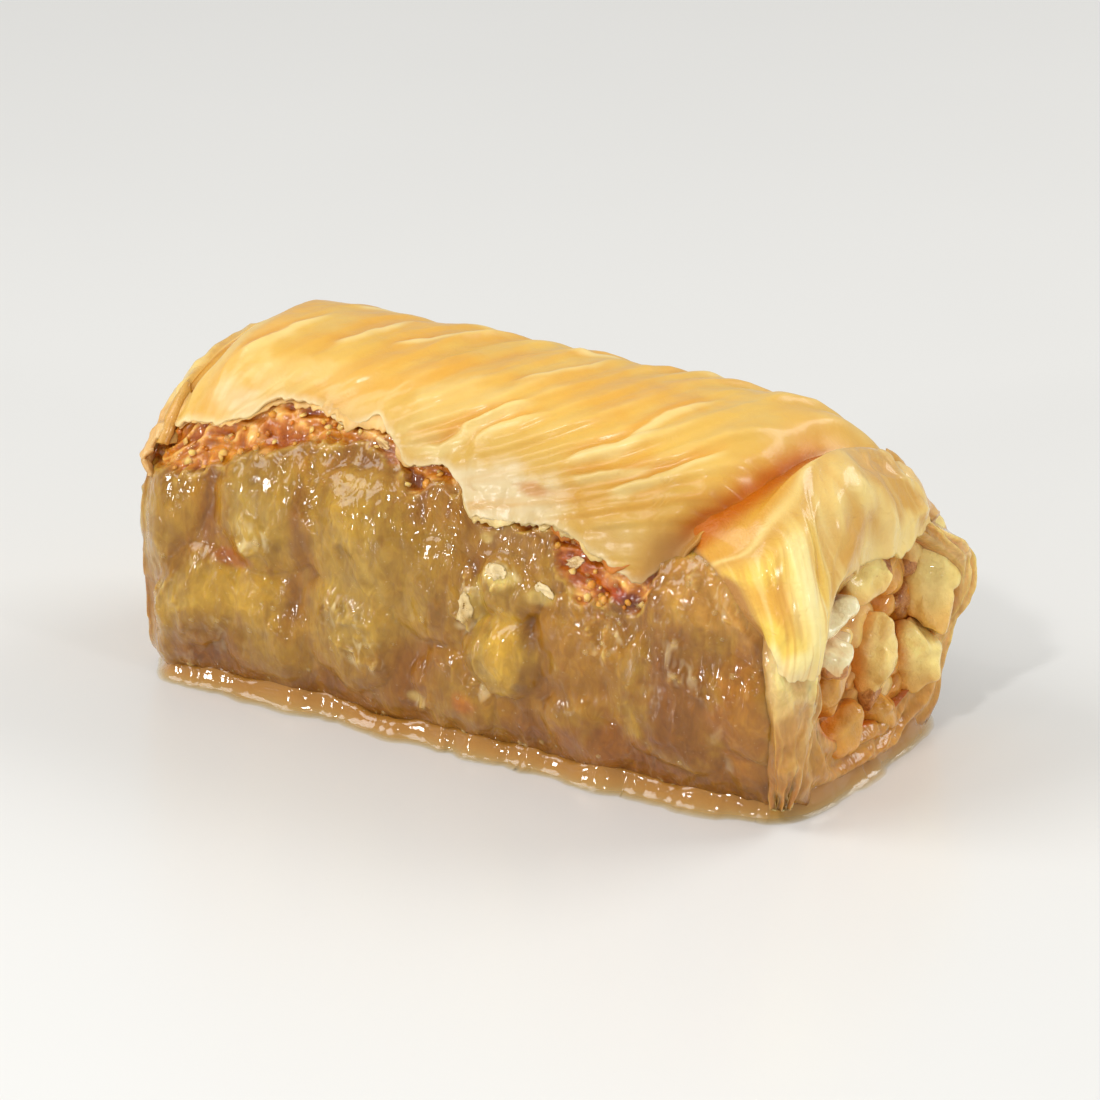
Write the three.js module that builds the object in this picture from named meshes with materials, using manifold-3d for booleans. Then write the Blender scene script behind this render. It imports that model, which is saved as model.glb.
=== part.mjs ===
// One baklava roll: wet phyllo pastry wound round chopped walnuts, soaked in
// syrup, with a crisp golden cap on top. Both ends are cut and show the nuts.
// Millimetres, +Z up. +X runs along the roll, its face towards -Y is the long
// side with the deeply torn cap. The roll lies on its flat bottom at z = 0.

import * as THREE from 'three';
import { mergeVertices } from 'three/addons/utils/BufferGeometryUtils.js';
import Module from 'manifold-3d';

// ---- driving dimensions -------------------------------------------------

const LENGTH = 65;              // pastry, cut end to cut end
const WIDTH = 27.6;
const HEIGHT = 31.2;
const WIDEST_Z = 15;            // height at which the roll is widest
const END_DROP = [0.13, 0.10];  // share of the height lost at the -X and +X ends
const END_DROP_RUN = [8, 11];   // length over which each end drops
const END_PINCH = 0.05;         // share of the width lost at both ends
const END_PINCH_RUN = 6;
const END_ROUNDING = 1.5;       // roundness of the edges at the cuts
const SQUARENESS_LOW = 5.0;     // superellipse power below and above WIDEST_Z
const SQUARENESS_HIGH = 2.35;
const BOTTOM_TRIM = 0.4;        // depth pressed flat against the tray

const CAP_THICKNESS = 0.9;      // crisp sheets above the torn edge
const TORN_STEP = 0.35;         // arc length over which that thickness ends
const FOLD_HEIGHT = 0.75;
const LUMP_HEIGHT = 1.15;       // nuts pushing the wet pastry out

const CHANNEL_WIDTH = 21.4;     // hollow that the walnuts fill
const CHANNEL_FLOOR = 4.4;
const CHANNEL_ROOF = 26.0;
const CHANNEL_SHIFT = [0.0, 2.3];   // sideways, at the -X and +X ends
const CHANNEL_SHIFT_RUN = 12;   // half length over which that shift grows
const CHANNEL_POWER = 2.6;      // superellipse power of the channel
const HOOD_Z = [23.5, 20.4];    // lowest edge of the sheets drooping over each end
const HOOD_DEPTH = 3.2;         // how far in along the roll the droop reaches

const FILLING_GAP = 0.35;       // clearance between the nuts and the pastry
const CORE_MARGIN = 0.7;        // from the channel to the core between the end pieces
const CORE_RECESS = 2.6;        // the packed core starts this far in
const NUT_PROUD = 3.4;          // furthest that a nut stands out of a cut end

// ---- grid ---------------------------------------------------------------

const STATIONS = 58;            // along the roll
const CAP_ROWS = 22;
const SIDE_ROWS = 12;
const BOTTOM_ROWS = 4;          // on each side of the middle of the bottom
const RING_POINTS = 2 * (BOTTOM_ROWS + SIDE_ROWS + 1) + CAP_ROWS;
const RIM_RINGS = 4;
const CORNER_ARC = 39;          // arc length from the ridge to the bottom corner
const CHANNEL_INSETS = [0, 0.9, 1.7, 2.5, 3.2, 12];   // rings, in from each end
const CORE_POINTS = 20;
const ARC_SAMPLES = 240;

// ---- small helpers ------------------------------------------------------

const HALF = LENGTH / 2;

function smooth(a, b, value) {
  const t = Math.min(1, Math.max(0, (value - a) / (b - a)));
  return t * t * (3 - 2 * t);
}

function mix(a, b, t) {
  return a + (b - a) * t;
}

function bell(distance, radius) {
  return Math.exp(-((distance / radius) ** 2));
}

function seededRandom(seed) {
  let state = seed;
  return function next() {
    state = (state * 16807) % 2147483647;
    return state / 2147483647;
  };
}

function throughKnots(knots, x) {
  if (x <= knots[0][0]) {
    return knots[0][1];
  }
  for (let i = 1; i < knots.length; i += 1) {
    const [x0, y0] = knots[i - 1];
    const [x1, y1] = knots[i];
    if (x <= x1) {
      return mix(y0, y1, smooth(x0, x1, x));
    }
  }
  return knots[knots.length - 1][1];
}

// ---- the plain roll -----------------------------------------------------

function heightAt(x) {
  const low = 1 - smooth(-HALF, -HALF + END_DROP_RUN[0], x);
  const high = smooth(HALF - END_DROP_RUN[1], HALF, x);
  return HEIGHT * (1 - END_DROP[0] * low - END_DROP[1] * high);
}

function widthAt(x) {
  const low = 1 - smooth(-HALF, -HALF + END_PINCH_RUN, x);
  const high = smooth(HALF - END_PINCH_RUN, HALF, x);
  return WIDTH * (1 - END_PINCH * (low + high));
}

// Section point for a turn of 0..1: bottom, front (-Y), ridge, back.
function sectionPoint(x, turn) {
  const angle = turn * 2 * Math.PI;
  const y = -Math.sin(angle);
  const z = -Math.cos(angle);
  const power = z < 0 ? SQUARENESS_LOW : SQUARENESS_HIGH;
  const reach = (Math.abs(y) ** power + Math.abs(z) ** power) ** (-1 / power);
  const rise = z < 0 ? WIDEST_Z : heightAt(x) - WIDEST_Z;
  return {
    y: y * reach * widthAt(x) / 2,
    z: WIDEST_Z + z * reach * rise,
  };
}

// The section as a table of points with their arc length from the ridge,
// positive towards the front.
function sectionTable(x) {
  const table = [];
  let travelled = 0;
  for (let i = 0; i <= ARC_SAMPLES; i += 1) {
    const point = sectionPoint(x, i / ARC_SAMPLES);
    if (i > 0) {
      const last = table[i - 1];
      travelled += Math.hypot(point.y - last.y, point.z - last.z);
    }
    table.push({ y: point.y, z: point.z, run: travelled });
  }
  const ridge = table[ARC_SAMPLES / 2].run;
  for (const entry of table) {
    entry.arc = ridge - entry.run;
  }
  return table;
}

// Point and outward normal of the section at an arc length from the ridge.
function sectionAtArc(table, arc) {
  let low = 0;
  let high = ARC_SAMPLES;
  while (high - low > 1) {
    const middle = (low + high) >> 1;
    if (table[middle].arc > arc) {
      low = middle;
    } else {
      high = middle;
    }
  }
  const a = table[low];
  const b = table[high];
  const t = Math.min(1, Math.max(0, (a.arc - arc) / (a.arc - b.arc)));
  const length = Math.hypot(b.y - a.y, b.z - a.z);
  return {
    y: mix(a.y, b.y, t),
    z: mix(a.z, b.z, t),
    normalY: -(b.z - a.z) / length,
    normalZ: (b.y - a.y) / length,
  };
}

// ---- relief of the skin -------------------------------------------------

// Arc length from the ridge down to the torn lower edge of the cap.
const TORN_FRONT = [
  [-33, 8.5], [-29, 12.3], [-25, 13.6], [-22.3, 12.6], [-19.5, 10.3], [-15.8, 10.1],
  [-12.2, 11.4], [-9.7, 10.5], [-8, 11.2], [-5.2, 13.4], [-1.5, 12.8], [0, 13.8],
  [2, 16.4], [10.7, 15.8], [12, 16.1], [14, 17.3], [18.6, 18.9], [21, 17],
];
const TORN_BACK = [
  [-33, 9], [-25, 15.5], [-17, 17.5], [-8, 14], [1, 15.2], [9, 19], [18, 16.5],
  [25, 18.5], [33, 17],
];

function tornTeeth(x, phase) {
  const wide = Math.sin(1.9 * x + phase) * Math.sin(0.63 * x + 2 * phase);
  const fine = Math.sin(4.3 * x + 3 * phase);
  return 0.55 * wide + 0.3 * fine;
}

function tornFront(x) {
  return throughKnots(TORN_FRONT, x) + tornTeeth(x, 0.7);
}

function tornBack(x) {
  return throughKnots(TORN_BACK, x) + tornTeeth(x, 2.9);
}

// Folds of the cap: start and end as [x, arc], then height and half-width.
// Their upper side is long and soft, their lower side steep.
const FOLDS = [
  { from: [6, -6], to: [-4, 13], height: 1.0, width: 1.8 },
  { from: [12, -4], to: [-1, 13.5], height: 0.9, width: 1.5 },
  { from: [17, -2], to: [2, 13], height: 1.0, width: 1.4 },
  { from: [20, 2], to: [5, 14.5], height: 0.8, width: 1.3 },
  { from: [24, 4], to: [9, 16], height: 0.9, width: 1.5 },
  { from: [26, 9], to: [14, 18], height: 0.6, width: 1.3 },
  { from: [-3, -5], to: [-10, 8], height: 0.9, width: 2.0 },
  { from: [-10, -3], to: [-18, 10], height: 0.8, width: 1.7 },
  { from: [-12, 2], to: [-14, 10], height: 0.5, width: 1.0 },
  { from: [-20, -4], to: [-27, 11], height: 0.5, width: 1.9 },
  { from: [-26, -9], to: [-31, 4], height: 0.4, width: 1.6 },
  { from: [22, -15], to: [12, -3], height: 0.8, width: 1.6 },
  { from: [12, -17], to: [0, -4], height: 0.9, width: 1.7 },
  { from: [2, -14], to: [-8, -3], height: 0.7, width: 1.5 },
  { from: [-8, -16], to: [-18, -4], height: 0.9, width: 1.8 },
  { from: [-18, -15], to: [-27, -5], height: 0.7, width: 1.6 },
];

function foldRelief(x, arc) {
  let total = 0;
  for (const fold of FOLDS) {
    const alongX = fold.to[0] - fold.from[0];
    const alongArc = fold.to[1] - fold.from[1];
    const length = Math.hypot(alongX, alongArc);
    const dx = x - fold.from[0];
    const da = arc - fold.from[1];
    const along = (dx * alongX + da * alongArc) / length;
    const across = (dx * alongArc - da * alongX) / length;
    const reach = smooth(-3, 2, along) * (1 - smooth(length - 2, length + 3, along));
    const width = across > 0 ? fold.width * 1.7 : fold.width * 0.6;
    total += fold.height * reach * bell(across, width);
  }
  return FOLD_HEIGHT * total;
}

// The crease near the +X end, where the cap tucks in under the end fold.
const CREASE = [
  [23, 19], [25.6, 15.2], [27.8, 11.2], [29, 7], [29.5, 0.7], [30.2, -4], [31, -9],
];
const CREASE_DEPTH = 1.1;
const CREASE_RIDGE = 1.0;

function creaseX(arc) {
  const knots = CREASE.map(([x, a]) => [-a, x]);
  return throughKnots(knots, -arc);
}

function creaseRelief(x, arc) {
  const offset = x - creaseX(arc);
  const present = smooth(-6, 2, arc) * (1 - smooth(15, 21, arc));
  const valley = CREASE_DEPTH * bell(Math.min(0, offset + 0.5), 2.2) * smooth(1.4, -0.6, offset);
  const ridge = CREASE_RIDGE * smooth(-0.6, 1.4, offset) * bell(Math.max(0, offset - 1.4), 3);
  return present * (ridge - valley);
}

// Nuts under the wet pastry: [x, arc, radius, height factor].
const FRONT_LUMPS = [
  [-30, 21, 4.0, 0.9], [-26, 29, 3.6, 1.3], [-18, 20, 4.6, 1.0], [-19, 31, 4.0, 0.7],
  [-8.5, 20.5, 4.8, 1.1], [-10, 29.5, 4.0, 0.9], [-1.5, 24, 3.6, 0.7], [0.5, 33, 3.2, 0.6],
  [5.8, 28, 2.9, 1.5], [6, 22, 2.4, 0.9], [13, 26, 3.6, 0.9], [14, 33, 3.4, 0.6],
  [22, 29, 4.6, 1.0], [23.5, 22, 3.2, 0.6], [29.5, 26, 3.6, 0.8], [-30, 33, 3.0, 0.5],
];

function backLumps() {
  const random = seededRandom(4127);
  const lumps = [];
  for (let x = -29; x <= 30; x += 7.3) {
    for (const arc of [-22, -31]) {
      const shiftX = (random() - 0.5) * 3.4;
      const shiftArc = (random() - 0.5) * 3;
      lumps.push([x + shiftX, arc + shiftArc, 3.2 + 1.6 * random(), 0.6 + 0.7 * random()]);
    }
  }
  return lumps;
}

// The nut piece that pushes the back wall out at the +X cut.
const CORNER_LUMP = [30.5, -25, 5, 1.7];
const LUMPS = [...FRONT_LUMPS, ...backLumps(), CORNER_LUMP];

function lumpRelief(x, arc) {
  let total = 0;
  for (const [lumpX, lumpArc, radius, height] of LUMPS) {
    const distance = Math.hypot(x - lumpX, (arc - lumpArc) * 0.85);
    total += height * bell(distance, radius);
  }
  return LUMP_HEIGHT * (total - 0.45);
}

// ---- the cut ends -------------------------------------------------------

// End 0 is at -X, end 1 at +X. Each has a hood, where the cap droops over the
// cut, and loose sheet edges all round.
const END_SIGN = [-1, 1];

// Front corner of the +X end: sheets curled over into one thick soft fold.
const CURL_TURN = 0.30;
const CURL_SPREAD = 0.085;
const CURL_BULGE = 0.9;

// Back of the +X end: the wall is pushed out by the big nut piece behind it.
const BACK_TURN = 0.68;
const BACK_SPREAD = 0.12;
const BACK_BULGE = 1.9;

function rimBulge(end, turn, across) {
  const round = Math.sin(Math.PI * across);
  const layers = 0.3 * Math.sin(across * 14 + 9 * Math.sin(turn * 12 + end));
  const ragged = 0.4 * Math.sin(turn * 41 + 2 * end) * Math.sin(turn * 17 + end);
  const curl = end * CURL_BULGE * bell(turn - CURL_TURN, CURL_SPREAD);
  const pushed = end * BACK_BULGE * bell(turn - BACK_TURN, BACK_SPREAD);
  return (0.4 + curl + layers) * round + (ragged + pushed) * Math.min(1, 3 * across);
}

// Channel section at a distance in from the nearest end, shrunk by a margin.
function channelPoint(x, turn, margin) {
  const end = x < 0 ? 0 : 1;
  const inward = HALF - Math.abs(x);
  const open = 1 - smooth(0.4, HOOD_DEPTH, inward);
  const angle = turn * 2 * Math.PI;
  const y = -Math.sin(angle);
  const z = -Math.cos(angle);
  const sum = Math.abs(y) ** CHANNEL_POWER + Math.abs(z) ** CHANNEL_POWER;
  const reach = sum ** (-1 / CHANNEL_POWER);
  const roof = mix(CHANNEL_ROOF, HOOD_Z[end], open) - margin;
  const floor = CHANNEL_FLOOR + margin;
  const half = CHANNEL_WIDTH / 2 - margin;
  const shift = CHANNEL_SHIFT[end] * smooth(0, CHANNEL_SHIFT_RUN, Math.abs(x));
  const wobble = 0.5 * open * Math.sin(turn * 31 + 4 * end);
  const middle = (roof + floor) / 2;
  return {
    y: shift + y * reach * (half + Math.min(0, wobble)),
    z: middle + z * reach * ((roof - floor) / 2 + Math.min(0, wobble)),
  };
}

// ---- pastry: one closed grid, outside, rim, channel, rim ----------------

// Arc lengths of the grid rows at a station, from the middle of the bottom up
// the front, over the ridge and down the back.
function rowArcs(x, table) {
  const bottomFront = table[0].arc;
  const bottomBack = table[ARC_SAMPLES].arc;
  const rows = [];
  function side(edge, calm, bottom, sign) {
    const list = [];
    const corner = sign * CORNER_ARC;
    for (let i = 0; i < BOTTOM_ROWS; i += 1) {
      list.push({ arc: mix(bottom, corner, i / BOTTOM_ROWS), cap: 0 });
    }
    for (let i = 0; i <= SIDE_ROWS; i += 1) {
      const t = i / SIDE_ROWS;
      const even = mix(corner, calm + sign * TORN_STEP, t);
      list.push({ arc: even + (edge - calm) * t ** 4, cap: 0 });
    }
    return list;
  }
  const front = tornFront(x);
  const back = -tornBack(x);
  const calmFront = throughKnots(TORN_FRONT, x);
  const calmBack = -throughKnots(TORN_BACK, x);
  rows.push(...side(front, calmFront, bottomFront, 1));
  for (let i = 0; i <= CAP_ROWS; i += 1) {
    const t = i / CAP_ROWS;
    const pullFront = (front - calmFront) * (1 - t) ** 4;
    const pullBack = (back - calmBack) * t ** 4;
    rows.push({ arc: mix(calmFront, calmBack, t) + pullFront + pullBack, cap: 1 });
  }
  const backSide = side(back, calmBack, bottomBack, -1);
  backSide.reverse();
  rows.push(...backSide);
  rows.pop();
  return rows;
}

// Where the cap's own thickness fades out, towards the fold at the +X end.
const CAP_FADE_FRONT = [18.5, 22];
const CAP_FADE_BACK = [27, 33];

function capShare(x, arc) {
  const front = 1 - smooth(CAP_FADE_FRONT[0], CAP_FADE_FRONT[1], x);
  const back = 1 - 0.5 * smooth(CAP_FADE_BACK[0], CAP_FADE_BACK[1], x);
  return arc > 0 ? front : back;
}

// Arc lengths between which the lumps on a wet side grow and fade.
const WET_START = [14, 20];
const WET_END = [34, 39];

function wetShare(arc) {
  const side = Math.abs(arc);
  return smooth(WET_START[0], WET_START[1], side) * (1 - smooth(WET_END[0], WET_END[1], side));
}

function skinPoint(x, row, table) {
  const base = sectionAtArc(table, row.arc);
  const cap = row.cap * capShare(x, row.arc);
  const wet = wetShare(row.arc);
  const inward = HALF - Math.abs(x);
  const calm = smooth(0, 3, inward);
  let lift = cap * CAP_THICKNESS;
  lift += row.cap * foldRelief(x, row.arc) * mix(0.4, 1, calm);
  lift += creaseRelief(x, row.arc);
  lift += (1 - cap) * wet * lumpRelief(x, row.arc) * mix(0.5, 1, calm);
  lift -= END_ROUNDING * bell(inward, END_ROUNDING) * mix(0.6, 1, smooth(20, 10, Math.abs(row.arc)));
  const y = base.y + base.normalY * lift;
  const z = base.z + base.normalZ * lift;
  return new THREE.Vector3(x, y, Math.max(0, z - BOTTOM_TRIM));
}

function outerRing(x) {
  const table = sectionTable(x);
  return rowArcs(x, table).map((row) => skinPoint(x, row, table));
}

function channelStations() {
  const low = CHANNEL_INSETS.map((inset) => inset - HALF);
  const high = CHANNEL_INSETS.map((inset) => HALF - inset);
  return [...low, ...high.reverse()];
}

function channelRing(x, margin, count) {
  const ring = [];
  for (let i = 0; i < count; i += 1) {
    const point = channelPoint(x, i / count, margin);
    ring.push(new THREE.Vector3(x, point.y, point.z - BOTTOM_TRIM));
  }
  return ring;
}

function rimRings(end, outer, channel) {
  const rings = [];
  for (let ring = 1; ring < RIM_RINGS; ring += 1) {
    const across = ring / RIM_RINGS;
    rings.push(outer.map((point, index) => {
      const placed = point.clone().lerp(channel[index], across);
      placed.x += END_SIGN[end] * rimBulge(end, index / outer.length, across);
      return placed;
    }));
  }
  return rings;
}

function ringStrip(rings, closed) {
  const count = rings[0].length;
  const positions = [];
  for (const ring of rings) {
    for (const point of ring) {
      positions.push(point.x, point.y, point.z);
    }
  }
  const index = [];
  const bands = closed ? rings.length : rings.length - 1;
  for (let band = 0; band < bands; band += 1) {
    const nextBand = (band + 1) % rings.length;
    for (let i = 0; i < count; i += 1) {
      const j = (i + 1) % count;
      const a = band * count + i;
      const b = band * count + j;
      const c = nextBand * count + j;
      const d = nextBand * count + i;
      index.push(a, c, b, a, d, c);
    }
  }
  return { positions, index };
}

function makeGeometry(positions, index) {
  const geometry = new THREE.BufferGeometry();
  geometry.setAttribute('position', new THREE.Float32BufferAttribute(positions, 3));
  geometry.setIndex(index);
  return geometry;
}

function pastryGeometry() {
  const outside = [];
  for (let i = 0; i < STATIONS; i += 1) {
    outside.push(outerRing(mix(-HALF, HALF, i / (STATIONS - 1))));
  }
  const first = outside[0];
  const last = outside[STATIONS - 1];
  const inside = channelStations().reverse().map((x) => channelRing(x, 0, RING_POINTS));
  const rings = [
    ...outside,
    ...rimRings(1, last, inside[0]),
    ...inside,
    ...rimRings(0, first, inside[inside.length - 1]).reverse(),
  ];
  const { positions, index } = ringStrip(rings, true);
  return makeGeometry(positions, index);
}

// ---- walnuts ------------------------------------------------------------

const wasm = await Module();
wasm.setup();

function toSolid(geometry) {
  const bare = geometry.clone();
  bare.deleteAttribute('normal');
  bare.deleteAttribute('uv');
  const merged = mergeVertices(bare, 1e-4);
  return new wasm.Manifold(new wasm.Mesh({
    numProp: 3,
    vertProperties: new Float32Array(merged.attributes.position.array),
    triVerts: new Uint32Array(merged.index.array),
  }));
}

function fromSolid(solid) {
  const mesh = solid.getMesh();
  return makeGeometry(Array.from(mesh.vertProperties), Array.from(mesh.triVerts));
}

// A closed tube along the channel, shrunk by a margin. It starts and ends past
// the cuts by a length (or short of them, if that is negative).
function channelSolid(margin, past, count) {
  const inner = channelStations().filter((x) => Math.abs(x) < HALF + past);
  const rings = inner.map((x) => channelRing(x, margin, count));
  const first = rings[0].map((point) => point.clone().setX(-HALF - past));
  const last = rings[rings.length - 1].map((point) => point.clone().setX(HALF + past));
  rings.unshift(first);
  rings.push(last);
  const { positions, index } = ringStrip(rings, false);
  const hubZ = (CHANNEL_FLOOR + HOOD_Z[1]) / 2;
  const lastStart = (rings.length - 1) * count;
  positions.push(-HALF - past, 1, hubZ, HALF + past, 1, hubZ);
  const hub = rings.length * count;
  for (let i = 0; i < count; i += 1) {
    const j = (i + 1) % count;
    index.push(hub, i, j);
    index.push(hub + 1, lastStart + j, lastStart + i);
  }
  return toSolid(makeGeometry(positions, index));
}

// One broken walnut piece: an uneven faceted lump.
function nutSolid(centre, size, turnAxis, turnAngle, random) {
  const geometry = new THREE.IcosahedronGeometry(1, 1);
  geometry.deleteAttribute('normal');
  geometry.deleteAttribute('uv');
  const merged = mergeVertices(geometry, 1e-4);
  const position = merged.attributes.position;
  const point = new THREE.Vector3();
  const phase = random() * 6;
  for (let i = 0; i < position.count; i += 1) {
    point.fromBufferAttribute(position, i);
    const furrow = 0.16 * Math.sin(4 * point.x + phase) * Math.cos(3 * point.y - phase);
    const chip = 0.12 * (random() - 0.5);
    point.multiplyScalar(1 + furrow + chip);
    position.setXYZ(i, point.x, point.y, point.z);
  }
  merged.scale(size[0] / 2, size[1] / 2, size[2] / 2);
  const axis = new THREE.Vector3(...turnAxis).normalize();
  merged.applyMatrix4(new THREE.Matrix4().makeRotationAxis(axis, turnAngle));
  merged.translate(...centre);
  return toSolid(merged);
}

// The pieces that show at the +X cut: middle of the piece (x as a distance in
// from the end, y, z) and its size along x, y and z.
const SHOWN_NUTS = [
  { at: [2.3, -3.6, 16.6], size: [6, 8.6, 4.4], tilt: 0.35 },
  { at: [1.6, 2.2, 18.0], size: [6, 7.4, 4.6], tilt: 0.30 },
  { at: [0.2, 10.6, 14.7], size: [7, 5.4, 10.0], tilt: -0.12 },
  { at: [1.8, 1.4, 12.2], size: [7, 5.2, 7.6], tilt: 0.15 },
  { at: [0.9, 9.2, 7.6], size: [6, 6.0, 6.2], tilt: 0.25 },
  { at: [2.1, -4.4, 9.8], size: [6, 6.0, 6.4], tilt: -0.4 },
  { at: [2.4, -6.2, 14.0], size: [6, 3.6, 3.4], tilt: 0.2 },
  { at: [2.4, 2.4, 6.6], size: [6, 6.4, 3.6], tilt: 0.2 },
];

function shownNuts() {
  const random = seededRandom(911);
  return SHOWN_NUTS.map(({ at, size, tilt }) => {
    const centre = [HALF - at[0], at[1], at[2]];
    return nutSolid(centre, size, [1, 0, 0], tilt, random);
  });
}

// At the -X cut the pieces lie in rows, as chopped nuts pack.
function farNuts() {
  const random = seededRandom(5011);
  const solids = [];
  const rows = [6.6, 11.4, 16.2, 20.2];
  rows.forEach((z, row) => {
    const first = row % 2 === 0 ? -7.0 : -4.8;
    for (let y = first; y < 9; y += 5.1) {
      const depth = 2.2 + 1.2 * random();
      const centre = [-HALF + depth, y + 1.2 * (random() - 0.5), z + 1.2 * (random() - 0.5)];
      const size = [6, 5.2 + 1.8 * random(), 4.6 + 1.6 * random()];
      solids.push(nutSolid(centre, size, [1, 0.2, 0], 3 * random(), random));
    }
  });
  return solids;
}

function fillingGeometry() {
  let heap = channelSolid(CORE_MARGIN, -CORE_RECESS, CORE_POINTS);
  for (const nut of [...shownNuts(), ...farNuts()]) {
    heap = heap.add(nut);
  }
  return fromSolid(heap.intersect(channelSolid(FILLING_GAP, NUT_PROUD, RING_POINTS)));
}

// ---- the piece ----------------------------------------------------------

function namedMesh(name, geometry, colour, roughness) {
  const material = new THREE.MeshStandardMaterial({ color: colour, roughness, metalness: 0 });
  material.name = name;
  geometry.computeVertexNormals();
  const mesh = new THREE.Mesh(geometry, material);
  mesh.name = name;
  return mesh;
}

const group = new THREE.Group();
group.add(namedMesh('phyllo_roll', pastryGeometry(), 0xe0b45a, 0.45));
group.add(namedMesh('walnut_filling', fillingGeometry(), 0xe6cb8c, 0.6));

// Origin at the middle of the underside of the whole piece.
const box = new THREE.Box3().setFromObject(group);
const middle = box.getCenter(new THREE.Vector3());
group.position.set(-middle.x, -middle.y, -box.min.z);

export default group;
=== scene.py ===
# %% [markdown]
# # A piece of rolled baklava
#
# Wet phyllo pastry is wound round chopped walnuts, baked, drowned in syrup
# and cut. The top stays crisp: a golden cap of dry sheets with slanting folds
# and a torn lower edge. Below the tear the pastry is soaked, so it is glassy
# and lumpy, and the nuts shine through it. The cut ends show the nuts under
# sheets that droop over the opening.
#
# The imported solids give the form. This script loads them as a fixed frame,
# builds the fine surfaces over the same named sizes, and lets them stand in
# for the plain solids.

# %% Tools and frame
import math

import bmesh
import bpy
import numpy as np
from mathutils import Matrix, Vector


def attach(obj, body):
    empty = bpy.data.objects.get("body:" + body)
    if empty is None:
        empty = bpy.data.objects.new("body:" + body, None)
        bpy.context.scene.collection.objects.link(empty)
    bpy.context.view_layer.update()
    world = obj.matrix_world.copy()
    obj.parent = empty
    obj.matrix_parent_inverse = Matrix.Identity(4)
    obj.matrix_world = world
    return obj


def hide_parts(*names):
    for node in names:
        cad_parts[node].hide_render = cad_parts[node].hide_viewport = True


bpy.ops.wm.read_factory_settings(use_empty=True)
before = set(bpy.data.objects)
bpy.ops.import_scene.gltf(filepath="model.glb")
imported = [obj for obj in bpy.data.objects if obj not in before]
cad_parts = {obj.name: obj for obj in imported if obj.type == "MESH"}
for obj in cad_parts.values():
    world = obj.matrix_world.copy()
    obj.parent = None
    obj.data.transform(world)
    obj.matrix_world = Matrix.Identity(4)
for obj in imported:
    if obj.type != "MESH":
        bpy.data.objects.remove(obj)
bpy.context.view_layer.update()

# %% [markdown]
# ## Working in millimetres
#
# A roll this small is easier to think of in millimetres, so every size below
# is in millimetres and the helpers turn it into metres. The origin of
# the solids is the middle of their underside, which is a little off the
# middle of the roll because the nuts stand out of one cut. `ROLL_TO_ORIGIN`
# is that small shift.

# %% Units and mesh helpers
MM = 0.001
ROLL_TO_ORIGIN = np.array([-1.115, -0.290, 0.0])
FIELD_KINDS = {           # numbers per point, and how Blender stores them
    1: ("FLOAT", "value"),
    3: ("FLOAT_VECTOR", "vector"),
    4: ("FLOAT_COLOR", "color"),
}


def link_object(name, data):
    thing = bpy.data.objects.new(name, data)
    bpy.context.scene.collection.objects.link(thing)
    return thing


def build_mesh(name, points, faces, material, fields=None, tint=None):
    """Makes an object at the origin from points in roll millimetres."""
    mesh = bpy.data.meshes.new(name)
    places = (np.asarray(points, float) + ROLL_TO_ORIGIN) * MM
    mesh.from_pydata(places.tolist(), [], faces if isinstance(faces, list) else faces.tolist())
    mesh.validate()
    fields = dict(fields or {})
    if tint is not None:
        colour = np.asarray(tint).reshape(-1, 3)
        fields["tint"] = np.concatenate([colour, np.ones((len(colour), 1))], 1)
    for key, values in fields.items():
        values = np.asarray(values, np.float32)
        kind, slot = FIELD_KINDS[values.size // len(places)]
        layer = mesh.attributes.new(key, kind, "POINT")
        layer.data.foreach_set(slot, values.ravel())
    mesh.shade_smooth()
    mesh.materials.append(material)
    return link_object(name, mesh)


def mixed_mesh(name, parts, material):
    """Joins (points, faces, tint, fields) parts into one object."""
    counts = [len(points) for points, _, _, _ in parts]
    starts = np.cumsum([0] + counts[:-1])
    points = np.concatenate([part[0] for part in parts])
    faces = np.concatenate([np.asarray(part[1]) + start for part, start in zip(parts, starts)])
    tint = np.concatenate([part[2] for part in parts])
    fields = {key: np.concatenate([part[3][key] for part in parts]) for key in parts[0][3]}
    return build_mesh(name, points, faces, material, fields, tint)


def closed(piece):
    """Turns a closed piece right side out, prints its volume and hands it on."""
    shape = bmesh.new()
    shape.from_mesh(piece.data)
    volume = shape.calc_volume(signed=True)
    shape.free()
    if volume < 0:
        piece.data.flip_normals()
    print(piece.name, "volume, mm3:", round(abs(volume) / MM ** 3))
    return piece


def grid_faces(rows, columns, close_rows=False, close_columns=False):
    """Quads over a grid of points; a closed direction joins its last to its first."""
    row_count = rows if close_rows else rows - 1
    column_count = columns if close_columns else columns - 1
    r, c = np.meshgrid(np.arange(row_count), np.arange(column_count), indexing="ij")
    r_next = (r + 1) % rows
    c_next = (c + 1) % columns
    corners = [r * columns + c, r * columns + c_next]
    corners += [r_next * columns + c_next, r_next * columns + c]
    return np.stack([k.ravel() for k in corners], 1)


def ring_faces(rings):
    """Quads over closed rings, the last of which joins the first."""
    return grid_faces(*rings.shape[:2], close_rows=True, close_columns=True)


def srgb(red, green, blue):
    """A colour as a paint chart gives it (0 to 255), as linear light."""
    value = np.array([red, green, blue]) / 255
    return np.where(value < 0.04045, value / 12.92, ((value + 0.055) / 1.055) ** 2.4)


# %% [markdown]
# ## Shaping by formula
#
# Pastry is uneven at every size, from the bulge of a nut down to hair-fine
# wrinkles. Three small functions carry all of it: a soft step, a bell, and
# value noise, which is a grid of seeded random numbers joined smoothly.
# Folding the noise at zero (`ridged`) gives the sharp crests of crumpled
# sheets.

# %% Steps, bells and noise
def smooth(low, high, value):
    t = np.clip((value - low) / (high - low), 0, 1)
    return t * t * (3 - 2 * t)


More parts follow.
